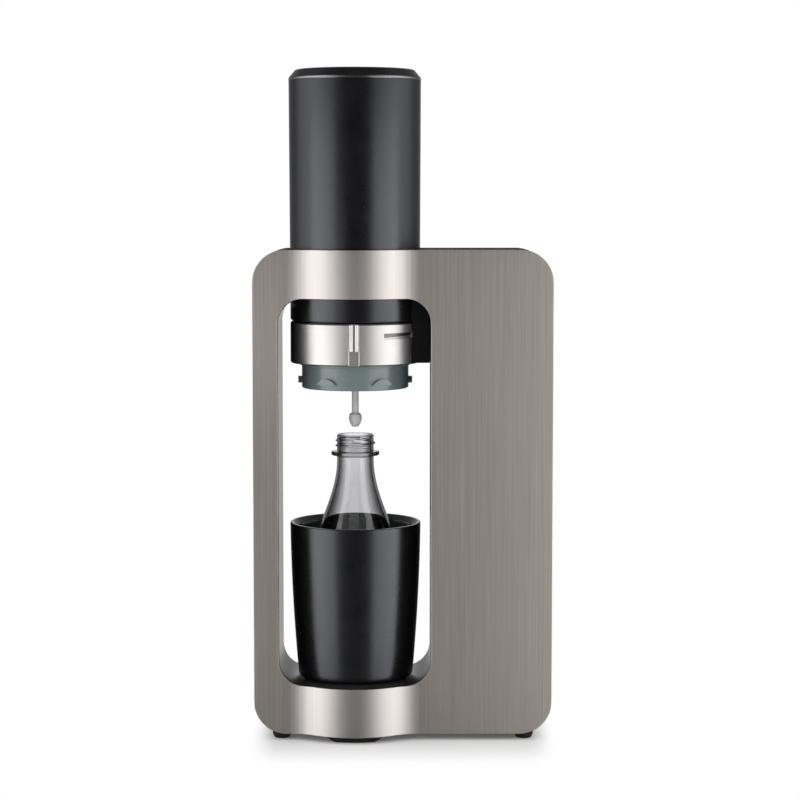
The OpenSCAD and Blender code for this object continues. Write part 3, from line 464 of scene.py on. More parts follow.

# %% [markdown]
# ## Greys, rubber and hose
# Moulded pieces differ in colour, gloss and how coarse their skin is, so one function that takes those three
# makes them all. The bayonet ring is a grey-green engineering plastic. The sleeve in the holder has a darker
# copy of that grey-green, painted shade for the inside of the holder. The window liner is nearly black but
# glossy, so that at a slant it mirrors the white background. The lance is pale. Feet and the bands in the
# window's joints, which paint the shade of those gaps, are rubber, which is dull and slightly dusty, and the
# wipers' felt takes the same finish.

# %% Moulded greys and rubber
def moulded(name, dark, light, rough, texture=900, strength=0.06, gloss=0.5):
    tree, shader = new_finish(name)
    skin = grain(tree, (texture, texture, texture), detail=2.0)
    cloud = grain(tree, (38, 38, 38))
    feed(tree, shader, {
        "Specular IOR Level": gloss,
        "Base Color": tint(tree, cloud, dark, light),
        "Roughness": between(tree, skin, *rough),
        "Normal": relief(tree, skin, strength, 0.0001),
    })


moulded("grey_plastic", (0.142, 0.178, 0.181), (0.156, 0.194, 0.197), (0.25, 0.29), 2600, 0.01, 0.9)
moulded("liner_grey", (0.015, 0.015, 0.015), (0.020, 0.020, 0.020), (0.20, 0.26), 900, 0.01, 0.34)
# the sleeve's darker grey-green is painted shade inside the holder
moulded("shaded_sleeve_green", (0.034, 0.046, 0.046), (0.042, 0.055, 0.055), (0.30, 0.38), 2600, 0.02, 0.6)
moulded("pale_plastic", (0.60, 0.60, 0.60), (0.64, 0.64, 0.635), (0.34, 0.44))
moulded("black_rubber", (0.010, 0.010, 0.010), (0.018, 0.018, 0.017), (0.62, 0.80), 1800, 0.15, 0.2)
moulded("hose_black", (0.015, 0.015, 0.016), (0.025, 0.025, 0.026), (0.45, 0.60), 1500, 0.10)
moulded("cylinder_paint", (0.50, 0.51, 0.52), (0.56, 0.57, 0.58), (0.30, 0.40), 500, 0.05)
print("finishes", len(FINISH))

# %% [markdown]
# ## Clear glass
# Glass shows by what it bends, so its edges go dark. Against a white background that shines in from all
# sides they would stay pale, so the glass's colour darkens by how far it turns away: painted shade for the
# dark edges. A thin smoke in the wall takes some light. Shadow rays pass as through thin air, or the holder
# under the glass would go black, because the renderer doesn't send lamp light through bending glass.

# %% Clear glass
EDGE_SHADE_STOPS = [(0.0, 0.88), (0.18, 0.82), (0.30, 0.52), (0.44, 0.19), (0.72, 0.07), (1.0, 0.06)]
EDGE_BLUE = 1.02
SMOKE, SMOKE_DENSITY = (0.05, 0.05, 0.06, 1), 95
SHADOW_TINT = (0.90, 0.92, 0.92, 1)


def clear_glass():
    tree, shader = new_finish("clear_glass")
    seeds = grain(tree, (24, 24, 60), detail=1.0)
    slant = add_node(tree, "ShaderNodeLayerWeight")
    # this ramp is painted shade: the glass gets darker as it turns away
    edge = add_node(tree, "ShaderNodeValToRGB", {"Fac": slant.outputs["Facing"]})
    fill_ramp(edge, [(at, (level, level, level * EDGE_BLUE, 1)) for at, level in EDGE_SHADE_STOPS])
    feed(tree, shader, {
        "Transmission Weight": 1.0,
        "IOR": 1.5,
        "Base Color": edge.outputs["Color"],
        "Roughness": between(tree, seeds, 0.0, 0.015),
    })
    shadow = add_node(tree, "ShaderNodeLightPath").outputs["Is Shadow Ray"]
    thin = add_node(tree, "ShaderNodeBsdfTransparent", {"Color": SHADOW_TINT})
    pick = add_node(tree, "ShaderNodeMixShader", {"Fac": shadow, 1: shader.outputs[0], 2: thin.outputs[0]})
    smoke = add_node(tree, "ShaderNodeVolumeAbsorption", {"Color": SMOKE, "Density": SMOKE_DENSITY})
    feed(tree, tree.nodes["Material Output"], {"Surface": pick.outputs[0], "Volume": smoke.outputs[0]})


clear_glass()
print("finishes", sorted(FINISH))

# %% [markdown]
# ## Finishes on the engineering solids
# The record names a material slot for every solid. The solids are smooth where they are round, so they need
# nothing but their finish, given slot by slot. The trim line has a finish of its own, and the index ribs a
# paler copy of the steel, painted highlight for the light that their fronts catch.

# %% Dress the solids
SLOT_OF = {row["node"]: row["material_slot"] for row in frame["record"]["subparts"]}
# the ribs' own finish is a paler steel, painted highlight
OWN_FINISH = {"trim_ring": "trim_metal", "index_ribs": "rib_highlight_steel"}
for node, solid in NODES.items():
    solid.data.materials.clear()
    solid.data.materials.append(FINISH[OWN_FINISH.get(node, SLOT_OF[node])])
print("dressed", len(SLOT_OF), "solids")

# %% [markdown]
# ## Sheet panels
# Front and rear are one sheet each, flat at the sides and swelling round the tower, with the window cut out.
# A flat sheet cut by booleans would shade badly over the swell, so the sheet is laid as columns of quads:
# at each place across, the outline gives where metal starts and stops, and the plan curve gives how far out
# it stands. Solidify then gives the sheet its thickness and a bevel rolls its edges.

# %% Outline
panel, liner, door = span("front_panel"), span("window_liner"), span("gas_door")
HALF_W, BOTTOM, TOP, CORNER = panel.x1, panel.z0, panel.z1, 26.5
LINER_T, WINDOW_CORNER = 1.2, 20.0
DOOR_GAP, DOOR_CORNER = 0.4, 10.0
# each hole: left, low, right, high, corner radius
WINDOW = (liner.x0 + LINER_T, liner.z0 + LINER_T, liner.x1 - LINER_T, liner.z1 - LINER_T, WINDOW_CORNER)
DOOR = (door.x0 - DOOR_GAP, door.z0 - DOOR_GAP, door.x1 + DOOR_GAP, door.z1 + DOOR_GAP, DOOR_CORNER)


def corner_rise(x, x0, x1, radius):
    """How far a rounded corner lifts the edge at x."""
    into = max(x0 + radius - x, x - x1 + radius, 0.0)
    return radius - math.sqrt(max(0.0, radius ** 2 - into ** 2))


print("window", [round(v, 3) for v in WINDOW], "door", [round(v, 3) for v in DOOR])

# %% Plan curve
# the gas door is flat and cut from the same sheet
HALF_D, SHEET_T = door.y1, door.y1 - door.y0
BULGE_R, BLEND_R = 58.0, 40.0
BLEND_Y = HALF_D + BLEND_R
BLEND_X = math.sqrt((BULGE_R + BLEND_R) ** 2 - BLEND_Y ** 2)
SWELL_X = BLEND_X * BULGE_R / (BULGE_R + BLEND_R)


def plan_depth(x):
    across = abs(x - AXIS_X)
    if across <= SWELL_X:
        return math.sqrt(BULGE_R ** 2 - across ** 2)
    if across < BLEND_X:
        return BLEND_Y - math.sqrt(BLEND_R ** 2 - (BLEND_X - across) ** 2)
    return HALF_D


print("swell to", round(SWELL_X, 2), "blend to", round(BLEND_X, 2))

# %% Places of the columns
CORNER_STEPS, SWELL_STEPS, BLEND_STEPS, WIDTH_STEPS = 9, 48, 10, 40
NEAREST = 0.02


def evenly(start, end, steps):
    return [start + (end - start) * k / steps for k in range(steps + 1)]


def corner_places(x0, x1, radius):
    insets = [radius * (1 - math.cos(turn)) for turn in evenly(0, math.pi / 2, CORNER_STEPS)]
    return [x0 + inset for inset in insets] + [x1 - inset for inset in insets]


def column_places(holes):
    places = corner_places(-HALF_W, HALF_W, CORNER)
    for x0, _, x1, _, radius in holes:
        places += corner_places(x0, x1, radius)
    places += [AXIS_X + across for across in evenly(-SWELL_X, SWELL_X, SWELL_STEPS)]
    for across in evenly(SWELL_X, BLEND_X, BLEND_STEPS):
        places += [AXIS_X - across, AXIS_X + across]
    places += evenly(-HALF_W, HALF_W, WIDTH_STEPS)
    kept = []
    for x in sorted(places):
        if not kept or x - kept[-1] > NEAREST:
            kept.append(x)
    return kept


print("columns", len(column_places([WINDOW])), "and", len(column_places([WINDOW, DOOR])))

# %% Heights up a column
ROWS_LOW, ROWS_MID, ROWS_HIGH = 5, 30, 5


def split_levels(x, holes):
    """Heights that part low, middle and high rows where the sheet is whole, led on from hole to hole."""
    marks = []
    for x0, z0, x1, z1, radius in holes:
        marks += [(x0, z0 + radius, z1 - radius), (x1, z0 + radius, z1 - radius)]
    if x <= marks[0][0]:
        return marks[0][1:]
    for (xa, la, ha), (xb, lb, hb) in zip(marks, marks[1:]):
        if x <= xb:
            share = (x - xa) / (xb - xa)
            return la + (lb - la) * share, ha + (hb - ha) * share
    return marks[-1][1:]


def column_heights(x, holes):
    """Heights of one column from low to high, with None where a hole is open."""
    rise = corner_rise(x, -HALF_W, HALF_W, CORNER)
    low, high = split_levels(x, holes)
    open_here = False
    for x0, z0, x1, z1, radius in holes:
        if x0 - NEAREST / 2 < x < x1 + NEAREST / 2:
            lift = corner_rise(min(max(x, x0), x1), x0, x1, radius)
            low, high = z0 + lift, z1 - lift
            open_here = x0 + NEAREST / 2 < x < x1 - NEAREST / 2
    middle = [None] * (ROWS_MID - 1) if open_here else evenly(low, high, ROWS_MID)[1:-1]
    return evenly(BOTTOM + rise, low, ROWS_LOW) + middle + evenly(high, TOP - rise, ROWS_HIGH)


print("heights in a column", len(column_heights(AXIS_X, [WINDOW])))

# %% Sheet from columns of quads
def into_mesh(mesh_b, name, smooth=True, sharp=None):
    mesh = bpy.data.meshes.new(name)
    mesh_b.to_mesh(mesh)
    mesh_b.free()
    if smooth:
        mesh.shade_smooth()
    if sharp:
        mesh.set_sharp_from_angle(angle=math.radians(sharp))
    return mesh


def sheet_mesh(name, facing, holes):
    mesh_b = bmesh.new()
    columns = []
    for x in column_places(holes):
        y = facing * plan_depth(x)
        column = [
            None if z is None else mesh_b.verts.new((x * MM, y * MM, z * MM))
            for z in column_heights(x, holes)]
        columns.append((x, column))
    for (xa, left), (xb, right) in zip(columns, columns[1:]):
        gap = any(x0 < (xa + xb) / 2 < x1 for x0, _, x1, _, _ in holes)
        for row in range(len(left) - 1):
            corners = (left[row], right[row], right[row + 1], left[row + 1])
            in_middle = ROWS_LOW <= row < ROWS_LOW + ROWS_MID
            if None in corners or (gap and in_middle):
                continue
            mesh_b.faces.new(corners if facing < 0 else corners[::-1])
    return into_mesh(mesh_b, name)


print("sheet helpers ready")

# %% Front and rear sheet
EDGE_ROLL, EDGE_STEPS, EDGE_ANGLE = 0.55, 3, 50


def add_piece(name, mesh, body, slot, *nodes, finish=None):
    """A piece that rides on a body, in its finish or else the finish named by its slot, with the nodes that
    it stands for hidden.
    """
    piece = bpy.data.objects.new(name, mesh)
    bpy.context.scene.collection.objects.link(piece)
    mesh.materials.append(FINISH[finish or slot])
    if body:
        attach(piece, body)
    if nodes:
        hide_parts(*nodes)
    return piece


def sheet_piece(name, facing, holes, node):
    piece = add_piece(name, sheet_mesh(name, facing, holes), "frame", "brushed_metal", node)
    thick = piece.modifiers.new("sheet_thickness", "SOLIDIFY")
    thick.thickness = SHEET_T * MM
    thick.offset = -1
    bevel = piece.modifiers.new("rolled_edge", "BEVEL")
    bevel.width = EDGE_ROLL * MM
    bevel.segments = EDGE_STEPS
    bevel.limit_method = "ANGLE"
    bevel.angle_limit = math.radians(EDGE_ANGLE)
    even = piece.modifiers.new("even_shading", "WEIGHTED_NORMAL")
    even.keep_sharp = True
    return piece


front_sheet = sheet_piece("front_sheet", -1, [WINDOW], "front_panel")
rear_sheet = sheet_piece("rear_sheet", 1, [WINDOW, DOOR], "rear_panel")
print("sheet quads", len(front_sheet.data.polygons), len(rear_sheet.data.polygons))

# %% [markdown]
# ## Turned pieces
# Bottle and holder are bodies of revolution. The Screw modifier could spin a profile, but writing the rings
# directly lets the radius change round the turn, which the bottle's thread needs. A profile is a list of
# corners, each with its own rounding, because no moulded or turned edge is quite sharp.

# %% Points round the axis, and closed skins
def about_axis(r, angle, z):
    """A point round the tower's axis; the angle starts at the right and runs to the rear."""
    return (AXIS_X + r * math.cos(angle)) * MM, r * math.sin(angle) * MM, z * MM


def seal(mesh_b, name, smooth=True, sharp=None):
    """Turns the faces of a closed skin outwards."""
    bmesh.ops.recalc_face_normals(mesh_b, faces=mesh_b.faces)
    if mesh_b.calc_volume(signed=True) < 0:
        bmesh.ops.reverse_faces(mesh_b, faces=mesh_b.faces)
    return into_mesh(mesh_b, name, smooth, sharp)


print("the axis is at", about_axis(0, 0, 0))

# %% Spinning a profile
SPIN_STEPS, SPIN_SHARP = 128, 40
TINY = 1e-6


def spin(name, points, closed=False, steps=SPIN_STEPS, swell=None):
    """Spins points (r, z); swell(r, z, turn) can widen the ring, with turn from 0 to 1."""
    mesh_b = bmesh.new()
    rings = []
    for r, z in points:
        turns = [s / steps for s in range(steps)] if r > TINY else [0.0]
        wide = [r + swell(r, z, turn) if swell else r for turn in turns]
        rings.append([
            mesh_b.verts.new(about_axis(w, 2 * math.pi * turn, z)) for w, turn in zip(wide, turns)])
    for lower, upper in zip(rings, rings[1:] + (rings[:1] if closed else [])):
        for s in range(steps):
            t = (s + 1) % steps
            corners = [ring[i % len(ring)] for ring, i in ((lower, s), (lower, t), (upper, t), (upper, s))]
            mesh_b.faces.new([v for i, v in enumerate(corners) if v not in corners[:i]])
    return seal(mesh_b, name, sharp=SPIN_SHARP)


print("spin steps", SPIN_STEPS)

# %% Rounding a profile
def rounded(corners, steps=4):
    """Profile points (r, z, rounding) with each corner replaced by a small arc."""
    points = []
    last = len(corners) - 1
    for k, (r, z, rounding) in enumerate(corners):
        if not rounding or k in (0, last):
            points.append((r, z))
            continue
        here = Vector((r, z))
        before = (Vector(corners[k - 1][:2]) - here).normalized()
        after = (Vector(corners[k + 1][:2]) - here).normalized()
        half = before.angle(after) / 2
        start, end = here + before * rounding / math.tan(half), here + after * rounding / math.tan(half)
        centre = here + (before + after).normalized() * rounding / math.sin(half)
        for share in evenly(0, 1, steps):
            way = (start - centre).lerp(end - centre, share)
            points.append(tuple(centre + way.normalized() * rounding))
    return points


print("a square corner becomes", len(rounded([(0, 0, 0), (1, 0, 0.2), (1, 1, 0)])) - 2, "points")

# %% [markdown]
# ## Holder
# The black cup flares upwards in one smooth curve, steep at the top. Its rim is a flat ring with a lead-in
# bevel inside. The engineering solid could be shown as it is, but spun again from a profile the cup gets a
# rounded rim, which catches the light, and its six lips become a piece with a finish of their own.

# %% Holder
cup = span("cup")
CUP_LIFT, CUP_R, CUP_BASE_R = 0.5, 53.4, 46.6
CUP_Z0, RIM_Z, RIM_FLAT = cup.z0 - CUP_LIFT, cup.z1, 2.4
CUP_H = RIM_Z - CUP_Z0
CUP_APEX = 1.17 * CUP_H
LEAD_Z, POCKET_Z = RIM_Z - 3.3, RIM_Z - 22.2
CUP_FLOOR_Z = CUP_Z0 + 4.5
WAIST_Z = CUP_FLOOR_Z + 30
IN_TOP, IN_LOW = 46.9, 42.3
IN_WAIST = IN_LOW + 1.4


def cup_out(h):
    return CUP_R - (CUP_R - CUP_BASE_R) * (1 - h / CUP_APEX) ** 2


def cup_profile():
    top, foot_z = cup_out(CUP_H), CUP_Z0 + CUP_LIFT
    base = [(0, foot_z, 0), (cup_out(0) - 0.2, foot_z, 1.2)]
    wall = [(cup_out(h), CUP_Z0 + h, 0) for h in evenly(3, CUP_H - 2, 40)]
    rim = [(top, RIM_Z, 0.9), (top - RIM_FLAT, RIM_Z, 0.5), (IN_TOP, LEAD_Z, 0.6)]
    inside = [(IN_TOP, POCKET_Z, 2), (IN_WAIST, WAIST_Z, 2), (IN_LOW, CUP_FLOOR_Z, 3), (0, CUP_FLOOR_Z, 0)]
    return rounded(base + wall + rim + inside)


holder = add_piece("holder_cup", spin("holder_cup", cup_profile()), "holder", "satin_black", "cup")
print("holder rim", round(RIM_Z, 1), "faces", len(holder.data.polygons))

# %% [markdown]
# ## Lips and sleeve in the holder
# Inside, the holder is not painted: lips and wall are grey-green plastic in a darker copy of the bayonet's
# colour, painted shade for the inside of the holder, which shows round the bottle and through it. The lugs
# lock under the lips, six bent bars with gaps between and a bevelled upper edge.
# Such bars come up again in the feet, the wipers and the springs, so one function skins any row of rings.
# The sleeve is a shell a third of a millimetre thick, spun from the wall's own inner profile.

# %% Lips inside the holder
LIP_COUNT, NOTCH_HALF, LIP_STEPS = 6, 13.2, 10
LIP_R, LIP_Z0, LIP_Z1, LIP_BEVEL, LIP_ROOT = 44.4, RIM_Z - 10.2, RIM_Z - 3.9, 0.6, IN_TOP + 0.4
LIP_SECTION = [
    (LIP_R, LIP_Z0), (LIP_ROOT, LIP_Z0), (LIP_ROOT, LIP_Z1), (LIP_R + LIP_BEVEL, LIP_Z1),
    (LIP_R, LIP_Z1 - LIP_BEVEL)]


def loft(name, bars, smooth=False, sharp=None):
    """Each bar is a row of rings of points: faces between neighbouring rings and a cap on each end."""
    mesh_b = bmesh.new()
    for rings in bars:
        rows = [[mesh_b.verts.new(point) for point in ring] for ring in rings]
        for lower, upper in zip(rows, rows[1:]):
            for i in range(len(lower)):
                j = (i + 1) % len(lower)
                mesh_b.faces.new((lower[i], lower[j], upper[j], upper[i]))
        mesh_b.faces.new(rows[0][::-1])
        mesh_b.faces.new(rows[-1])
    return seal(mesh_b, name, smooth, sharp)


def lip_rings(k):
    pitch = 360 / LIP_COUNT
    start, end = math.radians(k * pitch + NOTCH_HALF), math.radians((k + 1) * pitch - NOTCH_HALF)
    return [[about_axis(r, a, z) for r, z in LIP_SECTION] for a in evenly(start, end, LIP_STEPS)]


lips_mesh = loft("holder_lips", [lip_rings(k) for k in range(LIP_COUNT)])
# the lips take the darker grey-green, painted shade
add_piece("holder_lips", lips_mesh, "holder", "satin_black", finish="shaded_sleeve_green")
print("lips", LIP_COUNT)

# %% Sleeve
SLEEVE_T, SLEEVE_GAP = 0.32, 0.03
SLEEVE_WALL = [(IN_TOP, RIM_Z - 3.7), (IN_TOP, POCKET_Z), (IN_WAIST, WAIST_Z), (IN_LOW, CUP_FLOOR_Z + 4)]
sleeve_points = [(r - SLEEVE_GAP, z) for r, z in SLEEVE_WALL]
sleeve_points += [(r - SLEEVE_GAP - SLEEVE_T, z) for r, z in SLEEVE_WALL[::-1]]
sleeve_mesh = spin("holder_sleeve", sleeve_points, closed=True)
# the sleeve takes the darker grey-green, painted shade
add_piece("holder_sleeve", sleeve_mesh, "holder", "grey_plastic", finish="shaded_sleeve_green")
print("sleeve faces", len(sleeve_mesh.polygons))

# %% [markdown]
# ## Bottle
# A clear glass bottle with a long flared shoulder, a support ring and a screw thread. The thread is a helix,
# so it can't be spun from one profile: the radius swells where the height comes near the helix, and the swell
# fades at both ends of the thread as it does on a moulded neck. The wall has an inside of its own, so the
# glass bends light twice as the real one does.

# %% Shoulder and thread
bottle = span("bottle")
BOTTLE_Z0, BOTTLE_H, BOTTLE_R, NECK_R = bottle.z0, bottle.z1 - bottle.z0, bottle.x1 - AXIS_X, 15.0
SHOULDER_Z0, SHOULDER_Z1 = 0.37 * BOTTLE_H, 0.89 * BOTTLE_H
THREAD_LOW, THREAD_TURNS, THREAD_PITCH = BOTTLE_H - 11.3, 1.75, 4.2
THREAD_OUT, THREAD_HALF, THREAD_FADE = 1.4, 1.35, 0.12


def shoulder(h):
    t = min(1.0, max(0.0, (h - SHOULDER_Z0) / (SHOULDER_Z1 - SHOULDER_Z0)))
    return NECK_R + (BOTTLE_R - NECK_R) * (1 - t * t * (3 - 2 * t))


def thread_swell(r, z, turn):
    """How far the thread stands out of the neck."""
    h = z - BOTTLE_Z0
    if abs(r - NECK_R) > TINY or not THREAD_LOW - 1.6 < h < BOTTLE_H - 1:
        return 0.0
    swell = 0.0
    for wind in range(3):
        along = turn + wind
        if along > THREAD_TURNS:
            continue
        off = abs(h - (THREAD_LOW + THREAD_PITCH * along)) / THREAD_HALF
        ends = min(1.0, along / THREAD_FADE, (THREAD_TURNS - along) / THREAD_FADE)
        if off < 1:
            swell = max(swell, ends * THREAD_OUT * (0.5 + 0.5 * math.cos(math.pi * off)))
    return swell


print("bottle", round(BOTTLE_H, 2), "tall, radius", round(BOTTLE_R, 2))

# %% Bottle
GLASS_T, INSIDE_FLOOR, BOTTLE_STEPS = 1.6, 6.5, 160
SUPPORT_LOW, SUPPORT_R = BOTTLE_H - 17, NECK_R + 4.6
SUPPORT_HIGH = SUPPORT_LOW + 3.6


def bottle_profile():
    foot = [(0, 2.2, 0), (24, 1.2, 3), (30, 0, 2.5), (BOTTLE_R, 0, 5.5)]
    wall = [(shoulder(h), h, 0) for h in evenly(8, SUPPORT_LOW - 2, 60)]
    ring = [(NECK_R, SUPPORT_LOW - 0.6, 0.5), (SUPPORT_R, SUPPORT_LOW + 0.2, 0.8),
            (SUPPORT_R, SUPPORT_HIGH - 0.3, 0.8), (NECK_R, SUPPORT_HIGH, 0.4)]
    neck = [(NECK_R, h, 0) for h in evenly(THREAD_LOW - 1.5, THREAD_LOW + 10.1, 34)]
    mouth = [(NECK_R, BOTTLE_H, 0.9), (NECK_R - GLASS_T, BOTTLE_H, 0.9)]
    inside = [(shoulder(h) - GLASS_T, h - 1, 0) for h in evenly(SHOULDER_Z1, SHOULDER_Z0, 50)]
    heel = [(BOTTLE_R - GLASS_T, INSIDE_FLOOR, 9), (0, INSIDE_FLOOR, 0)]
    return rounded(foot + wall + ring + neck + mouth + inside + heel, steps=5)


bottle_points = [(r, BOTTLE_Z0 + h) for r, h in bottle_profile()]
bottle_mesh = spin("glass_bottle", bottle_points, steps=BOTTLE_STEPS, swell=thread_swell)
add_piece("glass_bottle", bottle_mesh, "holder", "clear_glass", "bottle")
print("bottle mouth", round(BOTTLE_Z0 + BOTTLE_H, 1), "faces", len(bottle_mesh.polygons))

# %% [markdown]
# ## Grip groove
# A short groove runs round the right side of the lock ring. Its floor lies in shade, so a thin dark strip
# lies
# in it: painted shade, duller and darker than the bright ring. A second finish on the ring itself would need
# its faces picked out, and the strip is simpler: a bent bar whose lower edge climbs, so that it tapers to the
# right.

# %% Painted shade in the grip groove
lock_ring = span("lock_ring")
GRIP_DEPTH, SHADE_STRIP_T = 1.8, 0.5
GRIP_Z = lock_ring.z0 + 0.7 * (lock_ring.z1 - lock_ring.z0)
SHADE_STRIP_LOW, SHADE_STRIP_HIGH, SHADE_STRIP_CLIMB = GRIP_Z - 1.4, GRIP_Z + 2.2, 1.7
SHADE_STRIP_FROM, SHADE_STRIP_TO, SHADE_STRIP_STEPS = 27.2, 61.8, 24
FRONT = -math.pi / 2


def shade_strip_rings():
    r0 = lock_ring.x1 - AXIS_X - GRIP_DEPTH
    r1 = r0 + SHADE_STRIP_T
    angles = evenly(math.radians(SHADE_STRIP_FROM), math.radians(SHADE_STRIP_TO), SHADE_STRIP_STEPS)
    lows = evenly(SHADE_STRIP_LOW, SHADE_STRIP_LOW + SHADE_STRIP_CLIMB, SHADE_STRIP_STEPS)
    return [
        [about_axis(r, FRONT + a, z) for r, z in ((r0, low), (r1, low), (r1, SHADE_STRIP_HIGH), (r0, SHADE_STRIP_HIGH))]
        for a, low in zip(angles, lows)]


# this strip is painted shade in the groove
shade_strip_mesh = loft("grip_shade_strip", [shade_strip_rings()])
add_piece("grip_shade_strip", shade_strip_mesh, "lock", "polished_steel", finish="groove_shade_steel")
print("inlay from", SHADE_STRIP_FROM, "to", SHADE_STRIP_TO, "degrees right of the front")

# %% [markdown]
# ## Wipers on the arm
# The arm slides along the window's right wall with a small gap. Two felt wipers on its side close that gap
# and keep dust out of the column. Each is a thin band that follows the arm's edge and its rounded upper
# corner, so one function lays the same outline twice, a wiper's thickness apart.

# %% Arm wipers
ARM_X, ARM_Z0, ARM_BEND_Z, ARM_BEND_R = 21.5, 305.0, 336.0, 19.0
WIPER_BEND = evenly(0, math.radians(80), 16)
WIPER_GAP, WIPER_T = 0.02, 0.8
WIPER_Y = ((-25.0, -19.0), (19.0, 25.0))


def wiper_line(out):
    reach = ARM_BEND_R + out
    centre_x = ARM_X - ARM_BEND_R
    bend = [(centre_x + reach * math.cos(a), ARM_BEND_Z + reach * math.sin(a)) for a in WIPER_BEND]
    return [(ARM_X + out, ARM_Z0)] + bend


def band_rings(line_a, line_b, y0, y1):
    """Four-cornered rings between two lines of (x, z), from y0 to y1."""
    return [
        [(x * MM, y * MM, z * MM) for x, y, z in ((xa, y0, za), (xb, y0, zb), (xb, y1, zb), (xa, y1, za))]
        for (xa, za), (xb, zb) in zip(line_a, line_b)]


wiper_bars = [band_rings(wiper_line(WIPER_GAP), wiper_line(WIPER_T), y0, y1) for y0, y1 in WIPER_Y]
wipers_mesh = loft("arm_wipers", wiper_bars)
add_piece("arm_wipers", wipers_mesh, "tower", "black_rubber")
print("wiper faces", len(wipers_mesh.polygons))

# %% [markdown]
# ## Painted shade in the window's joints
# A dark line runs between the panel's edge and the window's liner, where a gap lies in shade. A black rubber
# band fills that joint and stands a little proud of both: painted shade for the gap. It is laid as a band of
# nearly square section that runs up one side of the window and round both of its corners. The rear joint is
# left open, so only the front has such bands.

# %% Painted shade in the joints
GAP_SHADE_ROOT, GAP_SHADE_PROUD, GAP_SHADE_T = 0.3, 0.42, 0.8
GAP_SHADE_FRONT = HALF_D - SHEET_T
GAP_SHADE_ARC = evenly(0, math.radians(72), 14)


def gap_shade_line(side, out):
    """From the lower corner up to the upper corner; side is -1 for left and 1 for right."""
    x0, z0, x1, z1, radius = WINDOW
    centre = x1 - radius if side > 0 else x0 + radius
    reach = radius - out
    rise = [(centre + side * reach * math.cos(a), reach * math.sin(a)) for a in GAP_SHADE_ARC]
    return [(x, z0 + radius - z) for x, z in rise[::-1]] + [(x, z1 - radius + z) for x, z in rise]


gap_shade_bars = [
    band_rings(gap_shade_line(side, -GAP_SHADE_ROOT), gap_shade_line(side, GAP_SHADE_PROUD), GAP_SHADE_T - GAP_SHADE_FRONT, -GAP_SHADE_FRONT)
    for side in (-1, 1)]
# these black bands are painted shade for the gaps beside the window
gap_shade_mesh = loft("window_gap_shade", gap_shade_bars)
add_piece("window_gap_shade", gap_shade_mesh, "frame", "black_rubber")
print("bead faces", len(gap_shade_mesh.polygons))

# %% [markdown]
# ## Feet
# Four small rubber feet stand under the corners, and a curved pad lies under each swell. Moulded rubber has
# no sharp lower edge: the feet taper to a rounded sole and the pads run out at their ends like a boat. A
# bevelled cylinder could stand for a foot, but its top has to follow the round corner of the housing. So the
# feet are rings too, and the height of the last ones is read from the outline.

# %% Corner feet
FOOT_R, FOOT_Y, FOOT_SIDES, RUBBER_SHARP = 7.5, 30.0, 40, 50
FOOT_X = span("corner_feet").x1 - FOOT_R
# share of the foot's radius and height; the last two rings lie against the housing
SOLE = [(0.40, 0.0), (0.74, 0.0), (0.81, 0.2), (0.86, 0.7), (0.97, 2.4), (1.0, 3.1), (1.0, None), (0.5, None)]


def foot_rings(cx, cy):
    rings = []
    for share, height in SOLE:
        ring = []
        for a in evenly(0, 2 * math.pi, FOOT_SIDES)[:-1]:
            x, y = cx + share * FOOT_R * math.cos(a), cy + share * FOOT_R * math.sin(a)
            z = BOTTOM + corner_rise(x, -HALF_W, HALF_W, CORNER) if height is None else height
            ring.append((x * MM, y * MM, z * MM))
        rings.append(ring)
    return rings


foot_bars = [foot_rings(x, y) for x in (-FOOT_X, FOOT_X) for y in (-FOOT_Y, FOOT_Y)]
feet_mesh = loft("corner_rubbers", foot_bars, smooth=True, sharp=RUBBER_SHARP)
add_piece("corner_rubbers", feet_mesh, "frame", "black_rubber", "corner_feet")
print("feet faces", len(feet_mesh.polygons))

# %% Pads under the swells
pad = span("bulge_feet")
PAD_R1 = pad.y1
PAD_R0 = PAD_R1 - 7.0
PAD_HALF = math.asin((pad.x1 - AXIS_X) / PAD_R1)
PAD_STEPS, PAD_RISE, PAD_FLAT = 40, 3.2, 0.62
PAD_EDGE, PAD_CHAMFER = 1.4, 0.4


def pad_section(lift):
    edge, chamfer = lift + PAD_EDGE, lift + PAD_CHAMFER
    sole = [(PAD_R0 + PAD_EDGE, lift), (PAD_R1 - PAD_EDGE, lift)]
    outside = [(PAD_R1 - PAD_CHAMFER, chamfer), (PAD_R1, edge), (PAD_R1, BOTTOM)]
    return sole + outside + [(PAD_R0, BOTTOM), (PAD_R0, edge), (PAD_R0 + PAD_CHAMFER, chamfer)]


def pad_rings(facing):
    rings = []
    for share in evenly(-1, 1, PAD_STEPS):
        lift = PAD_RISE * max(0.0, (abs(share) - PAD_FLAT) / (1 - PAD_FLAT)) ** 2
        angle = facing * (math.pi / 2 - PAD_HALF * share)
        rings.append([about_axis(r, angle, z) for r, z in pad_section(lift)])
    return rings


pads_mesh = loft("swell_pads", [pad_rings(facing) for facing in (-1, 1)], smooth=True, sharp=RUBBER_SHARP)
add_piece("swell_pads", pads_mesh, "frame", "black_rubber", "bulge_feet")
print("pad radius", round(PAD_R1, 2), "half angle", round(math.degrees(PAD_HALF), 1))

# %% [markdown]
# ## Springs and hose
# Two springs lift the tower, and a smaller one lifts the button. A wound spring has close end coils that sit
# flat and open coils between. The springs shorten as the tower comes down. The gas hose hangs in a loop from
# the regulator to the carriage: one leg stays with the frame and one goes with the tower. Curves with a round
# bevel could make them, but rings laid along a path give plain closed meshes, and one function serves wire
# and hose.

# %% Rings along a path
LEAN, SIDEWAYS, LEAST_SIDE = Vector((0.3, 0.2, 0.93)), Vector((1, 0, 0)), 0.3


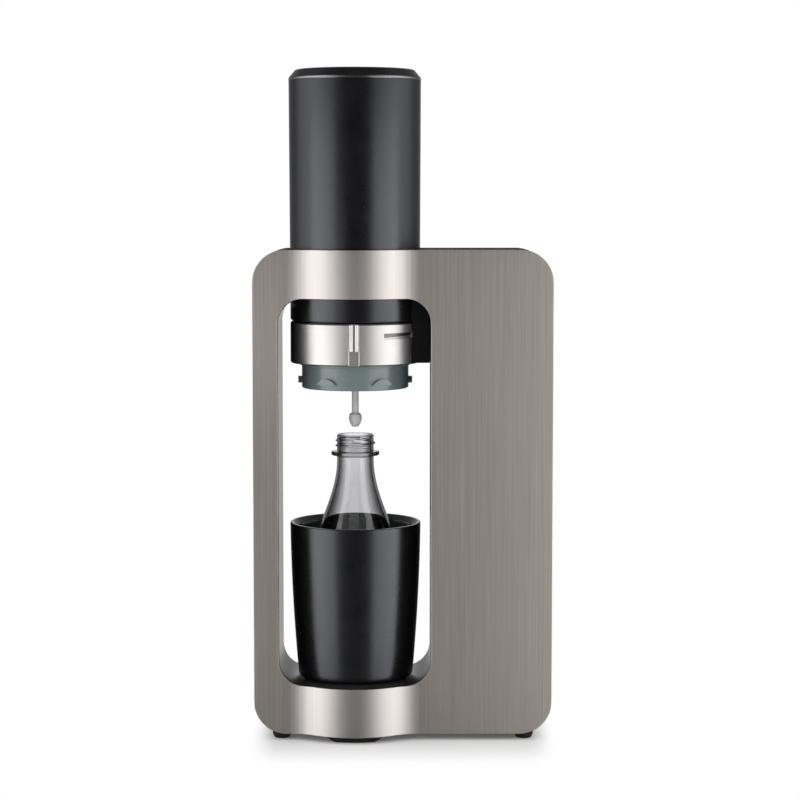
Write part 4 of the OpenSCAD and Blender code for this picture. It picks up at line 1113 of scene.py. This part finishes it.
def tube_rings(path, radius, sides):
    """Round rings along a path; LEAN sets their turn, or SIDEWAYS where the path runs along LEAN."""
    rings = []
    for k, point in enumerate(path):
        ahead = (path[min(k + 1, len(path) - 1)] - path[max(k - 1, 0)]).normalized()
        side = ahead.cross(LEAN)
        if side.length < LEAST_SIDE:
            side = ahead.cross(SIDEWAYS)
        side.normalize()
        other = ahead.cross(side)
        around = evenly(0, 2 * math.pi, sides)[:-1]
        rings.append([(point + (side * math.cos(a) + other * math.sin(a)) * radius) * MM for a in around])
    return rings


print("wire and hose can follow a path")

# %% Path of a spring
CLOSE_COIL = 2.3


def spring_path(x, y, radius, wire, turns, z0, z1, per_turn=20):
    """A close coil at each end and open coils between; wire is the radius of the wire."""
    low, close = z0 + wire, CLOSE_COIL * wire
    open_rise = z1 - wire - low - 2 * close
    path = []
    for wound in evenly(0, turns, int(turns * per_turn)):
        first, last = min(wound, 1.0), min(turns - wound, 1.0)
        middle = min(1.0, max(0.0, (wound - 1.0) / (turns - 2.0)))
        z = low + close * first + open_rise * middle + close * (1.0 - last)
        angle = 2 * math.pi * wound
        path.append(Vector((x + radius * math.cos(angle), y + radius * math.sin(angle), z)))
    return path


print("a close coil rises", CLOSE_COIL, "wire radii")

# %% Springs
WIRE_SIDES = 8
rods, springs = span("guide_rods"), span("lift_springs")
ROD_X, ROD_Y, LIFT = (rods.x0 + rods.x1) / 2, 24.0, 130.0
LIFT_COIL_R, LIFT_WIRE, LIFT_TURNS = 5.6, 0.7, 14
SPRING_LOW, SPRING_HIGH = springs.z0, springs.z1
lift_bars = []
for rod_y in (-ROD_Y, ROD_Y):
    path = spring_path(ROD_X, rod_y, LIFT_COIL_R, LIFT_WIRE, LIFT_TURNS, SPRING_LOW, SPRING_HIGH)
    lift_bars.append(tube_rings(path, LIFT_WIRE, WIRE_SIDES))
lift_mesh = loft("lift_coils", lift_bars, smooth=True)
lift_coils = add_piece("lift_coils", lift_mesh, "frame", "steel", "lift_springs")
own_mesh(lift_coils)

# %% Button spring
BUTTON_COIL_R, BUTTON_WIRE, BUTTON_TURNS, BUTTON_PRESS = 6.2, 0.6, 9, 5
button_spring = span("button_spring")
BUTTON_LOW, BUTTON_HIGH = button_spring.z0, button_spring.z1
button_path = spring_path(AXIS_X, 0, BUTTON_COIL_R, BUTTON_WIRE, BUTTON_TURNS, BUTTON_LOW, BUTTON_HIGH)
button_mesh = loft("button_coil", [tube_rings(button_path, BUTTON_WIRE, WIRE_SIDES)], smooth=True)
button_coil = add_piece("button_coil", button_mesh, "tower", "steel", "button_spring")
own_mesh(button_coil)

# %% Hose
hose = span("gas_hose")
HOSE_X, HOSE_R, HOSE_SIDES = (hose.x0 + hose.x1) / 2, (hose.x1 - hose.x0) / 2, 12
HOSE_Y, HOSE_TOP, HOSE_END = hose.y1 - HOSE_R, hose.z1, span("carriage").z0
BEND_Z = hose.z0 + HOSE_R + HOSE_Y
leg_down = [(-HOSE_Y, z) for z in evenly(HOSE_TOP, BEND_Z, 24)[:-1]]
loop = [(-HOSE_Y * math.cos(a), BEND_Z - HOSE_Y * math.sin(a)) for a in evenly(0, math.pi, 24)]
leg_up = [(HOSE_Y, z) for z in evenly(BEND_Z, HOSE_END, 20)[1:]]
hose_path = [Vector((HOSE_X, y, z)) for y, z in leg_down + loop + leg_up]
hose_mesh = loft("gas_line", [tube_rings(hose_path, HOSE_R, HOSE_SIDES)], smooth=True)
gas_line = add_piece("gas_line", hose_mesh, None, "hose_black", "gas_hose")
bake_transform(gas_line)
print("hose points", len(hose_path))
